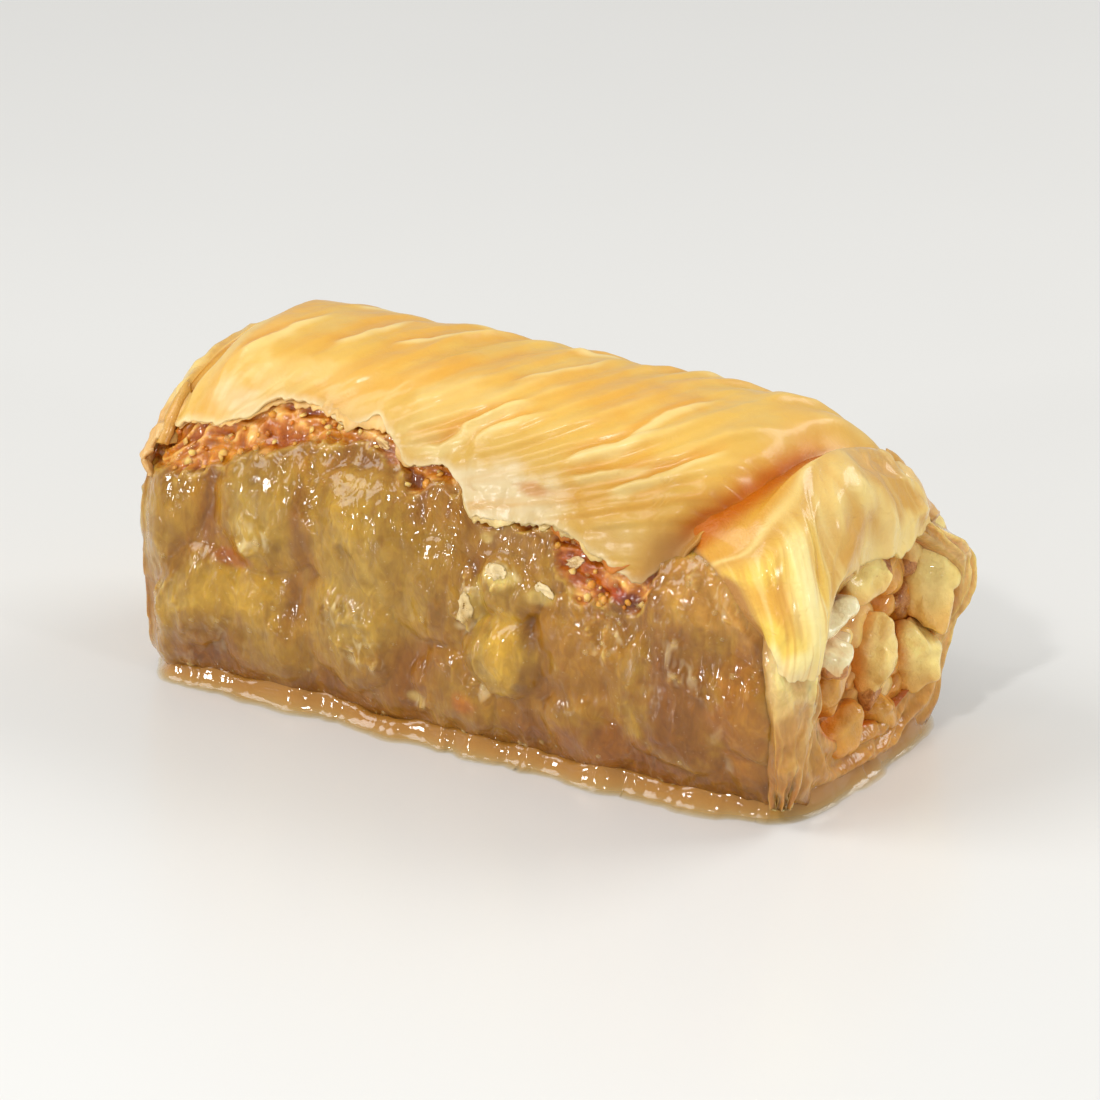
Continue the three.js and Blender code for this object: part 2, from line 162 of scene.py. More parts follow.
def bell(distance, radius):
    return np.exp(-((distance / radius) ** 2))


def between(a, b, share):
    return a + (b - a) * share


def mix(a, b, share):
    """Mixes two colours; the share may be a number for each point."""
    return a + (b - a) * np.asarray(share)[..., None]


def coats(colour, *layers):
    """Lays colours over a colour; each layer is a colour and its share at every point."""
    for tint, share in layers:
        colour = mix(colour, tint, share)
    return colour


def hashed(column, row, seed):
    mask = np.int64(0xFFFFFFFF)
    h = (column * 374761393 + row * 668265263 + seed * 144664613) & mask
    h = ((h ^ (h >> 13)) * 1274126177) & mask
    return ((h ^ (h >> 16)) & 0xFFFF) / 32767.5 - 1


def noise(u, v, seed):
    """Value noise, -1 to 1, one cell per unit of u and v."""
    u, v = np.broadcast_arrays(u, v)
    column = np.floor(u).astype(np.int64)
    row = np.floor(v).astype(np.int64)
    fu = u - column
    fv = v - row
    fu = fu * fu * (3 - 2 * fu)
    fv = fv * fv * (3 - 2 * fv)
    top = hashed(column, row, seed) * (1 - fu) + hashed(column + 1, row, seed) * fu
    low = hashed(column, row + 1, seed) * (1 - fu) + hashed(column + 1, row + 1, seed) * fu
    return top * (1 - fv) + low * fv


def layered(u, v, seed, octaves=3):
    total = 0
    size = 1.0
    for octave in range(octaves):
        total = total + size * noise(u * 2 ** octave, v * 2 ** octave, seed + 17 * octave)
        size *= 0.5
    return total / 1.6


def ridged(u, v, seed):
    return 1 - 2 * np.abs(noise(u, v, seed))


def through(knots, x):
    """A curve through [place, value] knots with soft steps between them."""
    places = np.array([k[0] for k in knots], float)
    values = np.array([k[1] for k in knots], float)
    x = np.clip(x, places[0], places[-1])
    i = np.clip(np.searchsorted(places, x, side="right") - 1, 0, len(knots) - 2)
    t = smooth(places[i], places[i + 1], x)
    return values[i] * (1 - t) + values[i + 1] * t


# %% [markdown]
# ## The plain roll
#
# The section is a superellipse: nearly square at the bottom, where it lay in
# the tray, and round on top. Every surface below is drawn on this roll with
# two numbers, the place along it (`x`) and the arc length from the ridge
# (`arc`, positive towards the front). A table of points and outward normals
# turns those two numbers into a place.

# %% Sizes of the roll
LENGTH = 65.0
WIDTH = 27.6
HEIGHT = 31.2
WIDEST_Z = 15.0
END_DROP = (0.13, 0.10)
END_DROP_RUN = (8.0, 11.0)
END_PINCH = 0.05
END_PINCH_RUN = 6.0
END_ROUNDING = 1.5
SQUARENESS_LOW = 5.0
SQUARENESS_HIGH = 2.35
BOTTOM_TRIM = 0.4
HALF = LENGTH / 2
CORNER_ARC = 39.0       # where the side turns into the flat bottom


def height_at(x):
    low = 1 - smooth(-HALF, -HALF + END_DROP_RUN[0], x)
    high = smooth(HALF - END_DROP_RUN[1], HALF, x)
    return HEIGHT * (1 - END_DROP[0] * low - END_DROP[1] * high)


def width_at(x):
    low = 1 - smooth(-HALF, -HALF + END_PINCH_RUN, x)
    high = smooth(HALF - END_PINCH_RUN, HALF, x)
    return WIDTH * (1 - END_PINCH * (low + high))


def section(x, turn):
    angle = turn * 2 * np.pi
    y = -np.sin(angle)
    z = -np.cos(angle)
    power = np.where(z < 0, SQUARENESS_LOW, SQUARENESS_HIGH)
    reach = (np.abs(y) ** power + np.abs(z) ** power) ** (-1 / power)
    rise = np.where(z < 0, WIDEST_Z, height_at(x) - WIDEST_Z)
    return y * reach * width_at(x) / 2, WIDEST_Z + z * reach * rise


# %% The roll as a table
TABLE_X = np.linspace(-HALF, HALF, 261)
TABLE_ARC = np.linspace(-53, 53, 425)


def roll_table():
    turns = np.linspace(0, 1, 721)
    table = np.zeros((len(TABLE_X), len(TABLE_ARC), 2))
    for i, x in enumerate(TABLE_X):
        y, z = section(x, turns)
        run = np.concatenate([[0], np.cumsum(np.hypot(np.diff(y), np.diff(z)))])
        arc = run[360] - run
        table[i, :, 0] = np.interp(TABLE_ARC, arc[::-1], y[::-1])
        table[i, :, 1] = np.interp(TABLE_ARC, arc[::-1], z[::-1])
    return table


ROLL = roll_table()
SLOPE = np.gradient(ROLL, TABLE_ARC[1] - TABLE_ARC[0], axis=1)


def looked_up(table, x, arc):
    column = np.clip((x - TABLE_X[0]) / (TABLE_X[1] - TABLE_X[0]), 0, len(TABLE_X) - 1.001)
    row = np.clip((arc - TABLE_ARC[0]) / (TABLE_ARC[1] - TABLE_ARC[0]), 0, len(TABLE_ARC) - 1.001)
    i = column.astype(int)
    j = row.astype(int)
    fi = (column - i)[..., None]
    fj = (row - j)[..., None]
    near = table[i, j] * (1 - fj) + table[i, j + 1] * fj
    far = table[i + 1, j] * (1 - fj) + table[i + 1, j + 1] * fj
    return near * (1 - fi) + far * fi


def on_roll(x, arc, lift=0.0):
    """Point at a place along the roll and an arc from the ridge, lifted off it."""
    x, arc, lift = np.broadcast_arrays(np.asarray(x, float), arc, lift)
    place = looked_up(ROLL, x, arc)
    slope = looked_up(SLOPE, x, arc)
    slope = slope / np.linalg.norm(slope, axis=-1, keepdims=True)
    y = place[..., 0] + slope[..., 1] * lift
    z = place[..., 1] - slope[..., 0] * lift
    z = np.maximum(z - BOTTOM_TRIM, 0)
    return np.stack([x, y, z], -1)


# %% [markdown]
# ## Relief that the solids share
#
# The solids hold the big relief, so the same rules are repeated here: the
# slanting folds of the cap, the crease where it tucks under the end fold, and
# the nuts that push the wet sides out. The torn edge is a curve of arc length
# over `x`, with ragged teeth on top.

# %% Torn edges
TORN_FRONT = [
    (-33, 8.5), (-29, 12.3), (-25, 13.6), (-22.3, 12.6), (-19.5, 10.3), (-15.8, 10.1),
    (-12.2, 11.4), (-9.7, 10.5), (-8, 11.2), (-5.2, 13.4), (-1.5, 12.8), (0, 13.8),
    (2, 16.4), (10.7, 15.8), (12, 16.1), (14, 17.3), (18.6, 18.9), (21, 17),
]
TORN_BACK = [
    (-33, 9), (-25, 15.5), (-17, 17.5), (-8, 14), (1, 15.2), (9, 19), (18, 16.5),
    (25, 18.5), (33, 17),
]


def torn_front(x):
    return through(TORN_FRONT, x)


def torn_back(x):
    return through(TORN_BACK, x)


def torn_edge(x, arc):
    """Arc from the ridge to the torn edge, on the side where arc lies."""
    return np.where(arc > 0, torn_front(x), torn_back(x))


# %% Flow of the folds
FLOW_BEND = [(-33, -0.3), (-27, 0.1), (-22, 0.6), (-12, 1.0), (28, 1.0), (33, 0.6)]


def flow_map(x, arc):
    """Place across the folds: equal all along one fold."""
    bend = through(FLOW_BEND, x)
    front = 0.3 * arc + 0.02 * arc ** 2 + 0.00417 * arc ** 3
    back = 0.3 * arc - 0.02 * arc ** 2
    return x + bend * np.where(arc > 0, front, back)


# %% Folds of the cap
FOLDS = [                # place across the folds, arc at both ends, height, half-width
    (-27.0, -12, 5, 0.30, 1.6), (-22.5, -14, 7, 0.40, 1.4), (-18.0, -9, 8, 0.42, 1.2),
    (-13.0, -14, 6, 0.45, 1.3), (-8.5, -11, 9, 0.40, 1.2), (-4.0, -15, 8, 0.50, 1.2),
    (0.5, -12, 10, 0.50, 1.1), (4.6, -6, 13, 0.60, 1.2), (7.3, -14, 13, 0.60, 1.0),
    (11.0, -8, 10, 0.45, 1.1), (14.3, -15, 12, 0.65, 1.2), (17.6, -3, 12, 0.40, 0.9),
    (21.0, -13, 12, 0.62, 1.2), (25.2, -15, 13, 0.60, 1.2), (29.4, -8, 14, 0.50, 1.2),
    (33.5, 4, 15, 0.40, 1.3), (38.0, 8, 16, 0.35, 1.4),
]


def fold_relief(x, arc):
    """Rounded folds with a steeper side that faces the near cut."""
    place = flow_map(x, arc) + 0.7 * layered(x / 8, arc / 8, 301)
    total = 0
    for centre, low, high, height, width in FOLDS:
        across = place - centre
        reach = smooth(low - 2, low + 3, arc) * (1 - smooth(high - 3, high + 2, arc))
        side = np.where(across < 0, width * 1.8, width * 0.6)
        total = total + height * reach * bell(across, side)
    return total * (0.45 + 0.55 * smooth(0, 7, np.abs(arc)))


# %% The crease by the cut end
CREASE = [
    (21.2, 19), (21.8, 16), (22.8, 13.8), (23.9, 12.2), (25.3, 10.6), (26.3, 8.8), (27.2, 6.6),
    (27.8, 4.4), (28.1, 1.8), (28.5, -1.6), (29.6, -6), (31, -10),
]
CREASE_DEPTH = 1.1
CREASE_RIDGE = 1.0


def crease_x(arc):
    return through([(-a, x) for x, a in CREASE], -np.asarray(arc, float))


def crease_relief(x, arc):
    offset = x - crease_x(arc)
    present = smooth(-6, 2, arc) * (1 - smooth(15, 21, arc))
    valley = CREASE_DEPTH * bell(np.minimum(0, offset + 0.5), 2.2) * smooth(-1.4, 0.6, -offset)
    ridge = CREASE_RIDGE * smooth(-0.6, 1.4, offset) * bell(np.maximum(0, offset - 1.4), 3)
    return present * (ridge - valley)


# %% Nuts under the wet sides
LUMP_HEIGHT = 1.15
FRONT_LUMPS = [          # x, arc, radius, height
    (-30, 21, 4.0, 0.9), (-26, 29, 3.6, 1.3), (-18, 20, 4.6, 1.0), (-19, 31, 4.0, 0.7),
    (-8.5, 20.5, 4.8, 1.1), (-10, 29.5, 4.0, 0.9), (-1.5, 24, 3.6, 0.7), (0.5, 33, 3.2, 0.6),
    (5.8, 28, 2.9, 1.5), (6, 22, 2.4, 0.9), (13, 26, 3.6, 0.9), (14, 33, 3.4, 0.6),
    (22, 29, 4.6, 1.0), (23.5, 22, 3.2, 0.6), (29.5, 26, 3.6, 0.8), (-30, 33, 3.0, 0.5),
]


def back_lumps():
    state = 4127
    draws = []
    for _ in range(9 * 2 * 4):
        state = (state * 16807) % 2147483647
        draws.append(state / 2147483647)
    lumps = []
    for i in range(9):
        for j, arc in enumerate((-22, -31)):
            a, b, c, d = draws[(2 * i + j) * 4:(2 * i + j) * 4 + 4]
            x = -29 + 7.3 * i
            lumps.append((x + (a - 0.5) * 3.4, arc + (b - 0.5) * 3, 3.2 + 1.6 * c, 0.6 + 0.7 * d))
    return lumps


LUMPS = FRONT_LUMPS + back_lumps() + [(30.5, -25, 5, 1.7)]


def lump_relief(x, arc):
    """Domes of nuts under the wet sheets; they meet in creases, as nuts do."""
    sway_x = 0.7 * layered(x / 3.2, arc / 3.2, 201)
    sway_arc = 0.7 * layered(x / 3.2, arc / 3.2, 207)
    total = np.zeros(np.broadcast(x, arc).shape)
    for px, parc, radius, height in LUMPS:
        reach = ((x + sway_x - px) ** 2 + (arc + sway_arc - parc) ** 2) / radius ** 2
        dome = height * (0.7 * np.sqrt(np.clip(1 - reach / 1.7, 0, 1)) + 0.45 * np.exp(-reach))
        total = total + dome ** 4
    return LUMP_HEIGHT * total ** 0.25


def pebbles(u, v, seed):
    """Rounded cells, 0 at their borders to 1 in their middles."""
    u, v = np.broadcast_arrays(u, v)
    column = np.floor(u).astype(np.int64)
    row = np.floor(v).astype(np.int64)
    nearest = np.full(u.shape, 9.0)
    for i in (-1, 0, 1):
        for j in (-1, 0, 1):
            cx = column + i + 0.5 + 0.42 * hashed(column + i, row + j, seed)
            cy = row + j + 0.5 + 0.42 * hashed(column + i, row + j, seed + 1)
            nearest = np.minimum(nearest, (u - cx) ** 2 + (v - cy) ** 2)
    return np.sqrt(np.clip(1 - nearest / 0.72, 0, 1))


# %% [markdown]
# ## Finishes
#
# Five finishes cover the piece. Each takes its broad colour from a `tint`
# painted on the points of the mesh, because what is toasted, wet or pale
# depends on where it lies, and adds fine variation, bump and gloss from
# noise on object coordinates. Wet pastry and nuts let light in, so both
# scatter it under the surface, and syrup is a clear coat over them.

# %% Node helpers
def add_node(tree, kind, inputs=None, **settings):
    """Adds a node; each input is a value or the socket that feeds it."""
    node = tree.nodes.new(kind)
    for key, value in settings.items():
        setattr(node, key, value)
    for key, value in (inputs or {}).items():
        if isinstance(value, bpy.types.NodeSocket):
            tree.links.new(value, node.inputs[key])
        else:
            node.inputs[key].default_value = value
    return node


class Finish:
    """A Principled material with short calls for noise, mixing and bump."""

    def __init__(self, name):
        self.material = bpy.data.materials.new(name)
        self.material.use_nodes = True
        self.tree = self.material.node_tree
        self.shader = self.tree.nodes["Principled BSDF"]
        self.object_place = add_node(self.tree, "ShaderNodeTexCoord").outputs["Object"]

    def set(self, **values):
        for key, value in values.items():
            self.shader.inputs[key.replace("_", " ")].default_value = value

    def link(self, source, key):
        self.tree.links.new(source, self.shader.inputs[key])

    def attribute(self, name, output="Fac"):
        return add_node(self.tree, "ShaderNodeAttribute", attribute_name=name).outputs[output]

    def stretched(self, x, y, z):
        """Object coordinates squeezed along the axes, for noise with a grain."""
        inputs = {"Vector": self.object_place, "Scale": (x, y, z)}
        return add_node(self.tree, "ShaderNodeMapping", inputs).outputs["Vector"]

    def noise(self, size, detail=3.0, roughness=0.55, distortion=0.0, place=None):
        """Noise with spots of a size in millimetres."""
        inputs = {"Vector": place or self.object_place, "Scale": 1 / (size * MM),
                  "Detail": detail, "Roughness": roughness, "Distortion": distortion}
        return add_node(self.tree, "ShaderNodeTexNoise", inputs).outputs["Fac"]

    def span(self, value, low, high, to_low=0.0, to_high=1.0):
        inputs = {"Value": value, "From Min": low, "From Max": high,
                  "To Min": to_low, "To Max": to_high}
        return add_node(self.tree, "ShaderNodeMapRange", inputs).outputs["Result"]

    def blended(self, share, first, second, how="MIX"):
        """Mixes two colours, each a socket or three numbers."""
        node = add_node(self.tree, "ShaderNodeMix", data_type="RGBA", blend_type=how)
        for socket, value in (("Factor", share), ("A", first), ("B", second)):
            target = [s for s in node.inputs if s.name == socket and s.enabled][0]
            if isinstance(value, bpy.types.NodeSocket):
                self.tree.links.new(value, target)
            else:
                target.default_value = value if socket == "Factor" else (*value, 1)
        return [s for s in node.outputs if s.enabled][0]

    def shaded(self, colour, field, low, high, dark, light):
        """Multiplies a colour by a shade that runs from dark to light over a field."""
        shade = self.blended(self.span(field, low, high), dark, light)
        return self.blended(1.0, colour, shade, "MULTIPLY")

    def maths(self, how, first, second=0.0):
        return add_node(self.tree, "ShaderNodeMath", {0: first, 1: second}, operation=how).outputs[0]

    def bump(self, height, depth, strength=1.0, under=None):
        """Bump of a depth in millimetres, over another bump if one is given."""
        inputs = {"Height": height, "Distance": depth * MM, "Strength": strength}
        if under is not None:
            inputs["Normal"] = under
        return add_node(self.tree, "ShaderNodeBump", inputs).outputs["Normal"]


# %% [markdown]
# ### Wet pastry
#
# Soaked phyllo is like frosted glass: light goes a few millimetres in, so
# its shading is soft and amber, while the syrup on it throws sharp glints.
# The glints sit on a clear coat with a bump of its own, finer than the
# pastry's.

# %% Wet pastry finish
def wet_phyllo_finish():
    finish = Finish("wet_phyllo")
    film = finish.attribute("film")
    hanging = finish.stretched(1, 1, 0.5)
    cloud = finish.noise(3.2, detail=2, distortion=0.8)
    veil = finish.noise(1.1, detail=2, distortion=1.6, place=hanging)
    speck = finish.noise(0.4, detail=1)
    tint = finish.attribute("tint", "Color")
    colour = finish.shaded(tint, cloud, 0.35, 0.7, (0.84, 0.79, 0.68), (1.1, 1.1, 1.06))
    colour = finish.shaded(colour, veil, 0.35, 0.7, (0.88, 0.83, 0.72), (1.12, 1.12, 1.14))
    fleck = finish.span(speck, 0.7, 0.82, 0, 0.2)
    colour = finish.blended(fleck, colour, srgb(240, 218, 158))
    # Where film lies, the fold noise that also shapes the coat's crests makes the colour paler: partly the
    # pale film, partly painted sheen.
    folds = finish.noise(1.5, detail=1, distortion=1.4, place=hanging)
    pale_film_and_sheen = finish.maths("MULTIPLY", finish.span(folds, 0.5, 0.72), finish.span(film, 0.3, 0.9, 0, 0.42))
    colour = finish.blended(pale_film_and_sheen, colour, srgb(244, 226, 176))
    finish.link(colour, "Base Color")
    finish.set(Roughness=0.45, IOR=1.33, Specular_IOR_Level=0.2)
    finish.set(Coat_Weight=1.0, Coat_Roughness=0.06, Coat_IOR=1.48)
    finish.set(Subsurface_Weight=0.6, Subsurface_Scale=1.6 * MM)
    finish.set(Subsurface_Radius=(1.0, 0.66, 0.22))
    crumple = finish.noise(1.8, detail=3, roughness=0.5, distortion=1.2, place=hanging)
    finish.link(finish.bump(crumple, 0.3, 0.8), "Normal")
    swell = finish.noise(2.4, detail=1, roughness=0.4, distortion=1.0, place=hanging)
    crest = finish.maths("ABSOLUTE", finish.maths("SUBTRACT", folds, 0.5))
    crinkle = finish.bump(crest, 0.2, 0.8, finish.bump(swell, 0.42, 0.9))
    finish.link(crinkle, "Coat Normal")
    return finish.material


# %% [markdown]
# ### Crisp cap
#
# Dry phyllo is a satin sheet. Its fine wrinkles run with the folds, so the
# streak noise reads `flow`, a map that follows them and is stretched along
# their length. A thin film of syrup gives a weak, soft coat.

# %% Crisp cap finish
def crisp_phyllo_finish(name, gloss, crumple_size, crumple_depth):
    finish = Finish(name)
    flow = finish.attribute("flow", "Vector")
    streak = finish.noise(1.0 / MM, detail=5, roughness=0.62, distortion=0.3, place=flow)
    cloud = finish.noise(5.0, detail=3)
    grain = finish.noise(0.28, detail=3, roughness=0.6)
    tint = finish.attribute("tint", "Color")
    # Darker in the grooves of the streak bump and lighter on its ridges: partly the sheet's own streaks,
    # partly painted shade.
    colour = finish.shaded(tint, streak, 0.3, 0.7, (0.94, 0.9, 0.82), (1.04, 1.04, 1.05))
    colour = finish.shaded(colour, cloud, 0.4, 0.7, (1.02, 1.01, 1.0), (0.97, 0.9, 0.76))
    finish.link(finish.span(streak, 0.3, 0.7, 0.46, 0.32), "Roughness")
    finish.set(IOR=1.4, Specular_IOR_Level=0.35, Coat_Roughness=0.3 - 0.24 * gloss, Coat_IOR=1.45)
    finish.link(finish.span(tint, 0.2, 0.42, 0.1 * gloss, gloss), "Coat Weight")
    finish.set(Subsurface_Weight=0.2, Subsurface_Scale=0.8 * MM)
    finish.set(Subsurface_Radius=(0.9, 0.8, 0.5))
    crumple = finish.noise(crumple_size, detail=4, roughness=0.55, distortion=0.8)
    fibre = finish.noise(2.6 / MM, detail=3, roughness=0.6, distortion=0.2, place=flow)
    lines = finish.bump(streak, 0.05, 0.7, finish.bump(crumple, crumple_depth, 0.6))
    lines = finish.bump(fibre, 0.035, 0.5, lines)
    # Darker where the fibre bump is low: partly the sheet's grain, partly painted shade.
    colour = finish.shaded(colour, fibre, 0.3, 0.7, (0.95, 0.92, 0.86), (1.03, 1.03, 1.04))
    finish.link(finish.bump(grain, 0.04, 0.5, lines), "Normal")
    finish.link(colour, "Base Color")
    return finish.material


# %% [markdown]
# ### Walnut and syrup
#
# A broken walnut is cream and waxy where it broke and brown where its thin
# skin still sits, so the nut meshes carry a `skin` field that picks between
# the two. Syrup is clear amber glass.

# %% Walnut and syrup finishes
def walnut_finish():
    finish = Finish("walnut")
    skin = finish.attribute("skin")
    cloud = finish.noise(1.6, detail=4)
    vein = finish.noise(0.5, detail=4, roughness=0.65, distortion=1.0)
    tint = finish.attribute("tint", "Color")
    flesh = finish.shaded(tint, cloud, 0.35, 0.7, (0.94, 0.89, 0.76), (1.16, 1.16, 1.14))
    soaked = finish.span(finish.noise(2.6, detail=3, distortion=0.6), 0.52, 0.74, 0, 0.35)
    flesh = finish.blended(soaked, flesh, srgb(206, 142, 52))
    brown = finish.blended(finish.span(vein, 0.35, 0.65), srgb(160, 92, 34), srgb(214, 150, 78))
    ragged = finish.maths("ADD", skin, finish.span(vein, 0.2, 0.8, -0.25, 0.25))
    finish.link(finish.blended(finish.span(ragged, 0.42, 0.58), flesh, brown), "Base Color")
    finish.set(Roughness=0.42, IOR=1.35, Coat_Weight=1.0, Coat_Roughness=0.07, Coat_IOR=1.42)
    finish.set(Subsurface_Weight=0.2, Subsurface_Scale=0.7 * MM)
    finish.set(Subsurface_Radius=(1.0, 0.85, 0.6))
    finish.link(finish.bump(cloud, 0.25, 0.6, finish.bump(vein, 0.2, 0.8)), "Normal")
    return finish.material


def syrup_finish():
    finish = Finish("syrup")
    ripple = finish.noise(1.5, detail=2)
    deep = finish.attribute("deep")
    colour = finish.blended(deep, srgb(246, 216, 136), srgb(182, 126, 50))
    finish.link(colour, "Base Color")
    finish.link(finish.span(deep, 0, 0.95, 0.05, 0.78), "Alpha")
    finish.set(Roughness=0.06, IOR=1.45)
    finish.set(Coat_Weight=1.0, Coat_Roughness=0.02, Coat_IOR=1.5)
    finish.link(finish.bump(ripple, 0.12, 0.6), "Normal")
    return finish.material


WET = wet_phyllo_finish()
CRISP = crisp_phyllo_finish("crisp_phyllo", 0.4, 2.4, 0.2)
DRAPED = crisp_phyllo_finish("draped_phyllo", 0.6, 1.7, 0.5)
WALNUT = walnut_finish()
SYRUP = syrup_finish()

# %% [markdown]
# ## The soaked pastry
#
# The body of the roll is one closed tube: the outside, a rim at each cut,
# and the channel that the nuts fill. Its rows of points lie close together
# on the two wet sides, which need the detail, and far apart under the cap
# and on the bottom. The rows keep the same anchors as the solid's grid, so
# the rims and the channel come out in the same places.

# %% Rows round the roll
CAP_STEP = 0.35
ROW_COUNT = 56          # rows of the solid's grid, the unit of `row`
ROW_ANCHORS = np.array([0, 4, 16, 17, 39, 40, 52, 56], float)


def bottom_arc(x):
    turns = np.linspace(0, 0.5, 241)
    y, z = section(x, turns)
    return np.hypot(np.diff(y), np.diff(z)).sum()


def row_arcs(x, rows):
    front = through(TORN_FRONT, np.array([x]))[0]
    back = through(TORN_BACK, np.array([x]))[0]
    middle = bottom_arc(x)
    arcs = [middle, CORNER_ARC, front + CAP_STEP, front, -back, -back - CAP_STEP]
    return np.interp(rows, ROW_ANCHORS, arcs + [-CORNER_ARC, -middle])


def spread(pieces):
    """Row numbers from (first row, last row, count) stretches."""
    runs = [np.linspace(a, b, n, endpoint=False) for a, b, n in pieces]
    return np.concatenate(runs)


BODY_ROWS = spread([(0, 4, 14), (4, 16.5, 118), (16.5, 39.5, 44), (39.5, 52, 104), (52, 56, 14)])
BODY_STATIONS = 236

# %% Toasted band under the torn edge
BAND_FRONT = [            # lower edge of the toasted band, where the wet sheets begin
    (-33, 14.5), (-29.8, 15.8), (-27.2, 17.6), (-25.5, 18.2), (-22.8, 16.6), (-20.8, 15.4),
    (-17.7, 14.6), (-14.8, 13.4), (-11.8, 12.8), (-9.5, 12.2), (-6.7, 14.0), (-4.7, 15.4),
    (-2, 14.2), (1, 14.6), (3, 16.8), (9.5, 16.6), (11, 19.6), (14, 21.4), (18, 21.6), (19.4, 20.6),
    (21, 15),
    (33, 10),
]
BAND_BACK = [
    (-33, 12), (-27, 18), (-20, 20), (-12, 17.6), (-4, 15.4), (3, 18.4), (9, 21), (16, 19),
    (22, 20.4), (33, 18),
]


def band_low(x, arc):
    ragged = 0.9 * layered(x / 1.9, arc / 3, 401) + 0.45 * noise(x / 0.6, arc / 0.8, 403)
    return np.where(arc > 0, through(BAND_FRONT, x), through(BAND_BACK, x)) + ragged


def band_share(x, arc):
    """1 on the toasted, crumbly band between the torn cap and the wet sheets."""
    edge = torn_edge(x, arc)
    side = np.abs(arc)
    return smooth(-1.2, -0.2, side - edge) * smooth(0.3, -0.3, side - band_low(x, arc))


def crumble(x, arc):
    """Crumbs and upturned flakes of the toasted band, in millimetres."""
    flakes = ridged(x / 1.5 + 0.4 * noise(arc, x, 411), arc / 0.9, 413)
    return 0.42 * pebbles(x / 1.25, arc / 1.05, 407) + 0.36 * flakes + 0.16 * layered(x / 0.6, arc / 0.6, 409)


# %% Fine relief of the wet sides
# Where the film crumples into sharp creases; the tints paint pale glints on their crests.
FILM_PATCHES = [          # x, arc, half-length, half-height, strength
    (-19.5, 22.2, 2.2, 2.2, 0.9), (-10.2, 27.4, 3.0, 1.7, 0.8), (-8, 30.6, 2.8, 1.7, 0.8),
    (2.4, 24.4, 1.5, 3.2, 1.2), (5.6, 21, 2.2, 1.4, 1.2), (15.8, 24.2, 2.8, 2.2, 0.9),
    (23.7, 25.0, 3.4, 3.0, 0.7), (25.4, 17.8, 3.0, 2.2, 0.9), (3.5, 31.8, 1.6, 1.4, 0.8),
    (-3.3, 34.6, 1.8, 1.2, 0.8),
    (-24, 25.2, 2.6, 1.2, 0.7), (-29, 27, 2.0, 3.0, 0.6), (-21, -24, 3, 3, 0.9),
    (-7, -29, 4, 2, 0.9), (7, -25, 2, 4, 1.0), (19, -31, 4, 2, 0.8), (26, -23, 3, 3, 0.8),
]


def wet_share(arc):
    return smooth(12, 15, np.abs(arc)) * (1 - smooth(36, 41, np.abs(arc)))


def film_share(x, arc):
    """Where a loose film of pastry has crumpled on the wet sides."""
    ragged = 0.5 * layered(x / 1.6, arc / 1.6, 421)
    share = 0.10 * smooth(0.3, 0.7, layered(x / 5, arc / 5, 21)) + 0 * x
    for px, parc, rx, rarc, strength in FILM_PATCHES:
        reach = np.hypot((x - px) / rx, (arc - parc) / rarc) + ragged
        share = np.maximum(share, strength * (1 - smooth(0.3, 1.2, reach)))
    return share


def film_creases(x, arc):
    """Thin crumpled film: sharp little crests that run mostly downwards."""
    sway = 0.9 * layered(x / 2.2, arc / 2.2, 31)
    crests = np.maximum(ridged((x + sway) / 1.0, (arc - sway) / 3.0, 9), 0) ** 2
    cross = np.maximum(ridged((x - 0.6 * arc + sway) / 1.3, (x + arc) / 2.8, 15), 0) ** 2
    return film_share(x, arc) * (0.5 * crests + 0.4 * cross)


def wet_wrinkles(x, arc):
    """Soft swellings, edges of hanging sheets and film creases, in millimetres."""
    sway = 0.6 * layered(x / 2.6, arc / 2.6, 33)
    small = 0.22 * pebbles(x / 3.4 + sway, arc / 3.6 - sway, 35)
    swell = 0.55 * layered(x / 3.4, arc / 4.6, 5, octaves=2)
    hanging = 0.18 * np.maximum(ridged(x / 1.7 + 1.5 * sway, arc / 7, 37), 0) ** 2
    crinkle = 0.03 * layered(x / 0.7, arc / 0.9, 12)
    grains = 0.09 * pebbles(x / 1.3 + sway, arc / 1.2, 39) * smooth(24, 17, np.abs(arc) + 2 * sway)
    return small + swell + hanging + film_creases(x, arc) + crinkle + grains - 0.15


def back_flare(x, arc):
    """The back wall opens like a collar round the nut in the corner of the cut."""
    return 2.7 * smooth(24, 32, x) * smooth(-13, -19, arc) * (1 - smooth(33, 39, -arc))


def shoulder_drop(x, arc):
    """The back shoulder by the near cut has sagged."""
    return 1.1 * smooth(24, 32, x) * bell(arc + 11.5, 4.5)


def under_seam(x, arc):
    """Where a hood starts from the cap, the wet roll below lies deeper."""
    return bell(x - crease_x(arc) - 0.4, 1.8) * smooth(-9, -3, arc) * (1 - smooth(14.5, 17, arc))


def body_lift(x, arc):
    inward = HALF - np.abs(x)
    calm = smooth(0, 3, inward)
    edge = torn_edge(x, arc)
    below = smooth(-1.5, 1.0, np.abs(arc) - edge)
    band = band_share(x, arc)
    lift = (0.5 + 0.5 * calm) * below * wet_share(arc) * lump_relief(x, arc) * 1.15
    wrinkles = wet_wrinkles(x, arc) * (1 - smooth(41, 45, np.abs(arc)))
    rim = 0.14 * bell(np.abs(arc) - band_low(x, arc) - 0.35, 0.4) * (1 - band)
    lift = lift + below * (between(wrinkles + rim, crumble(x, arc) - 0.75, band))
    lift = lift + 0.6 * np.minimum(0, crease_relief(x, arc)) + back_flare(x, arc)
    lift = lift - shoulder_drop(x, arc) - 1.3 * under_seam(x, arc) - 1.6 * under_seam(-x, -arc)
    drop = 0.6 + 0.4 * smooth(20, 10, np.abs(arc))
    return lift - END_ROUNDING * drop * bell(inward, END_ROUNDING)


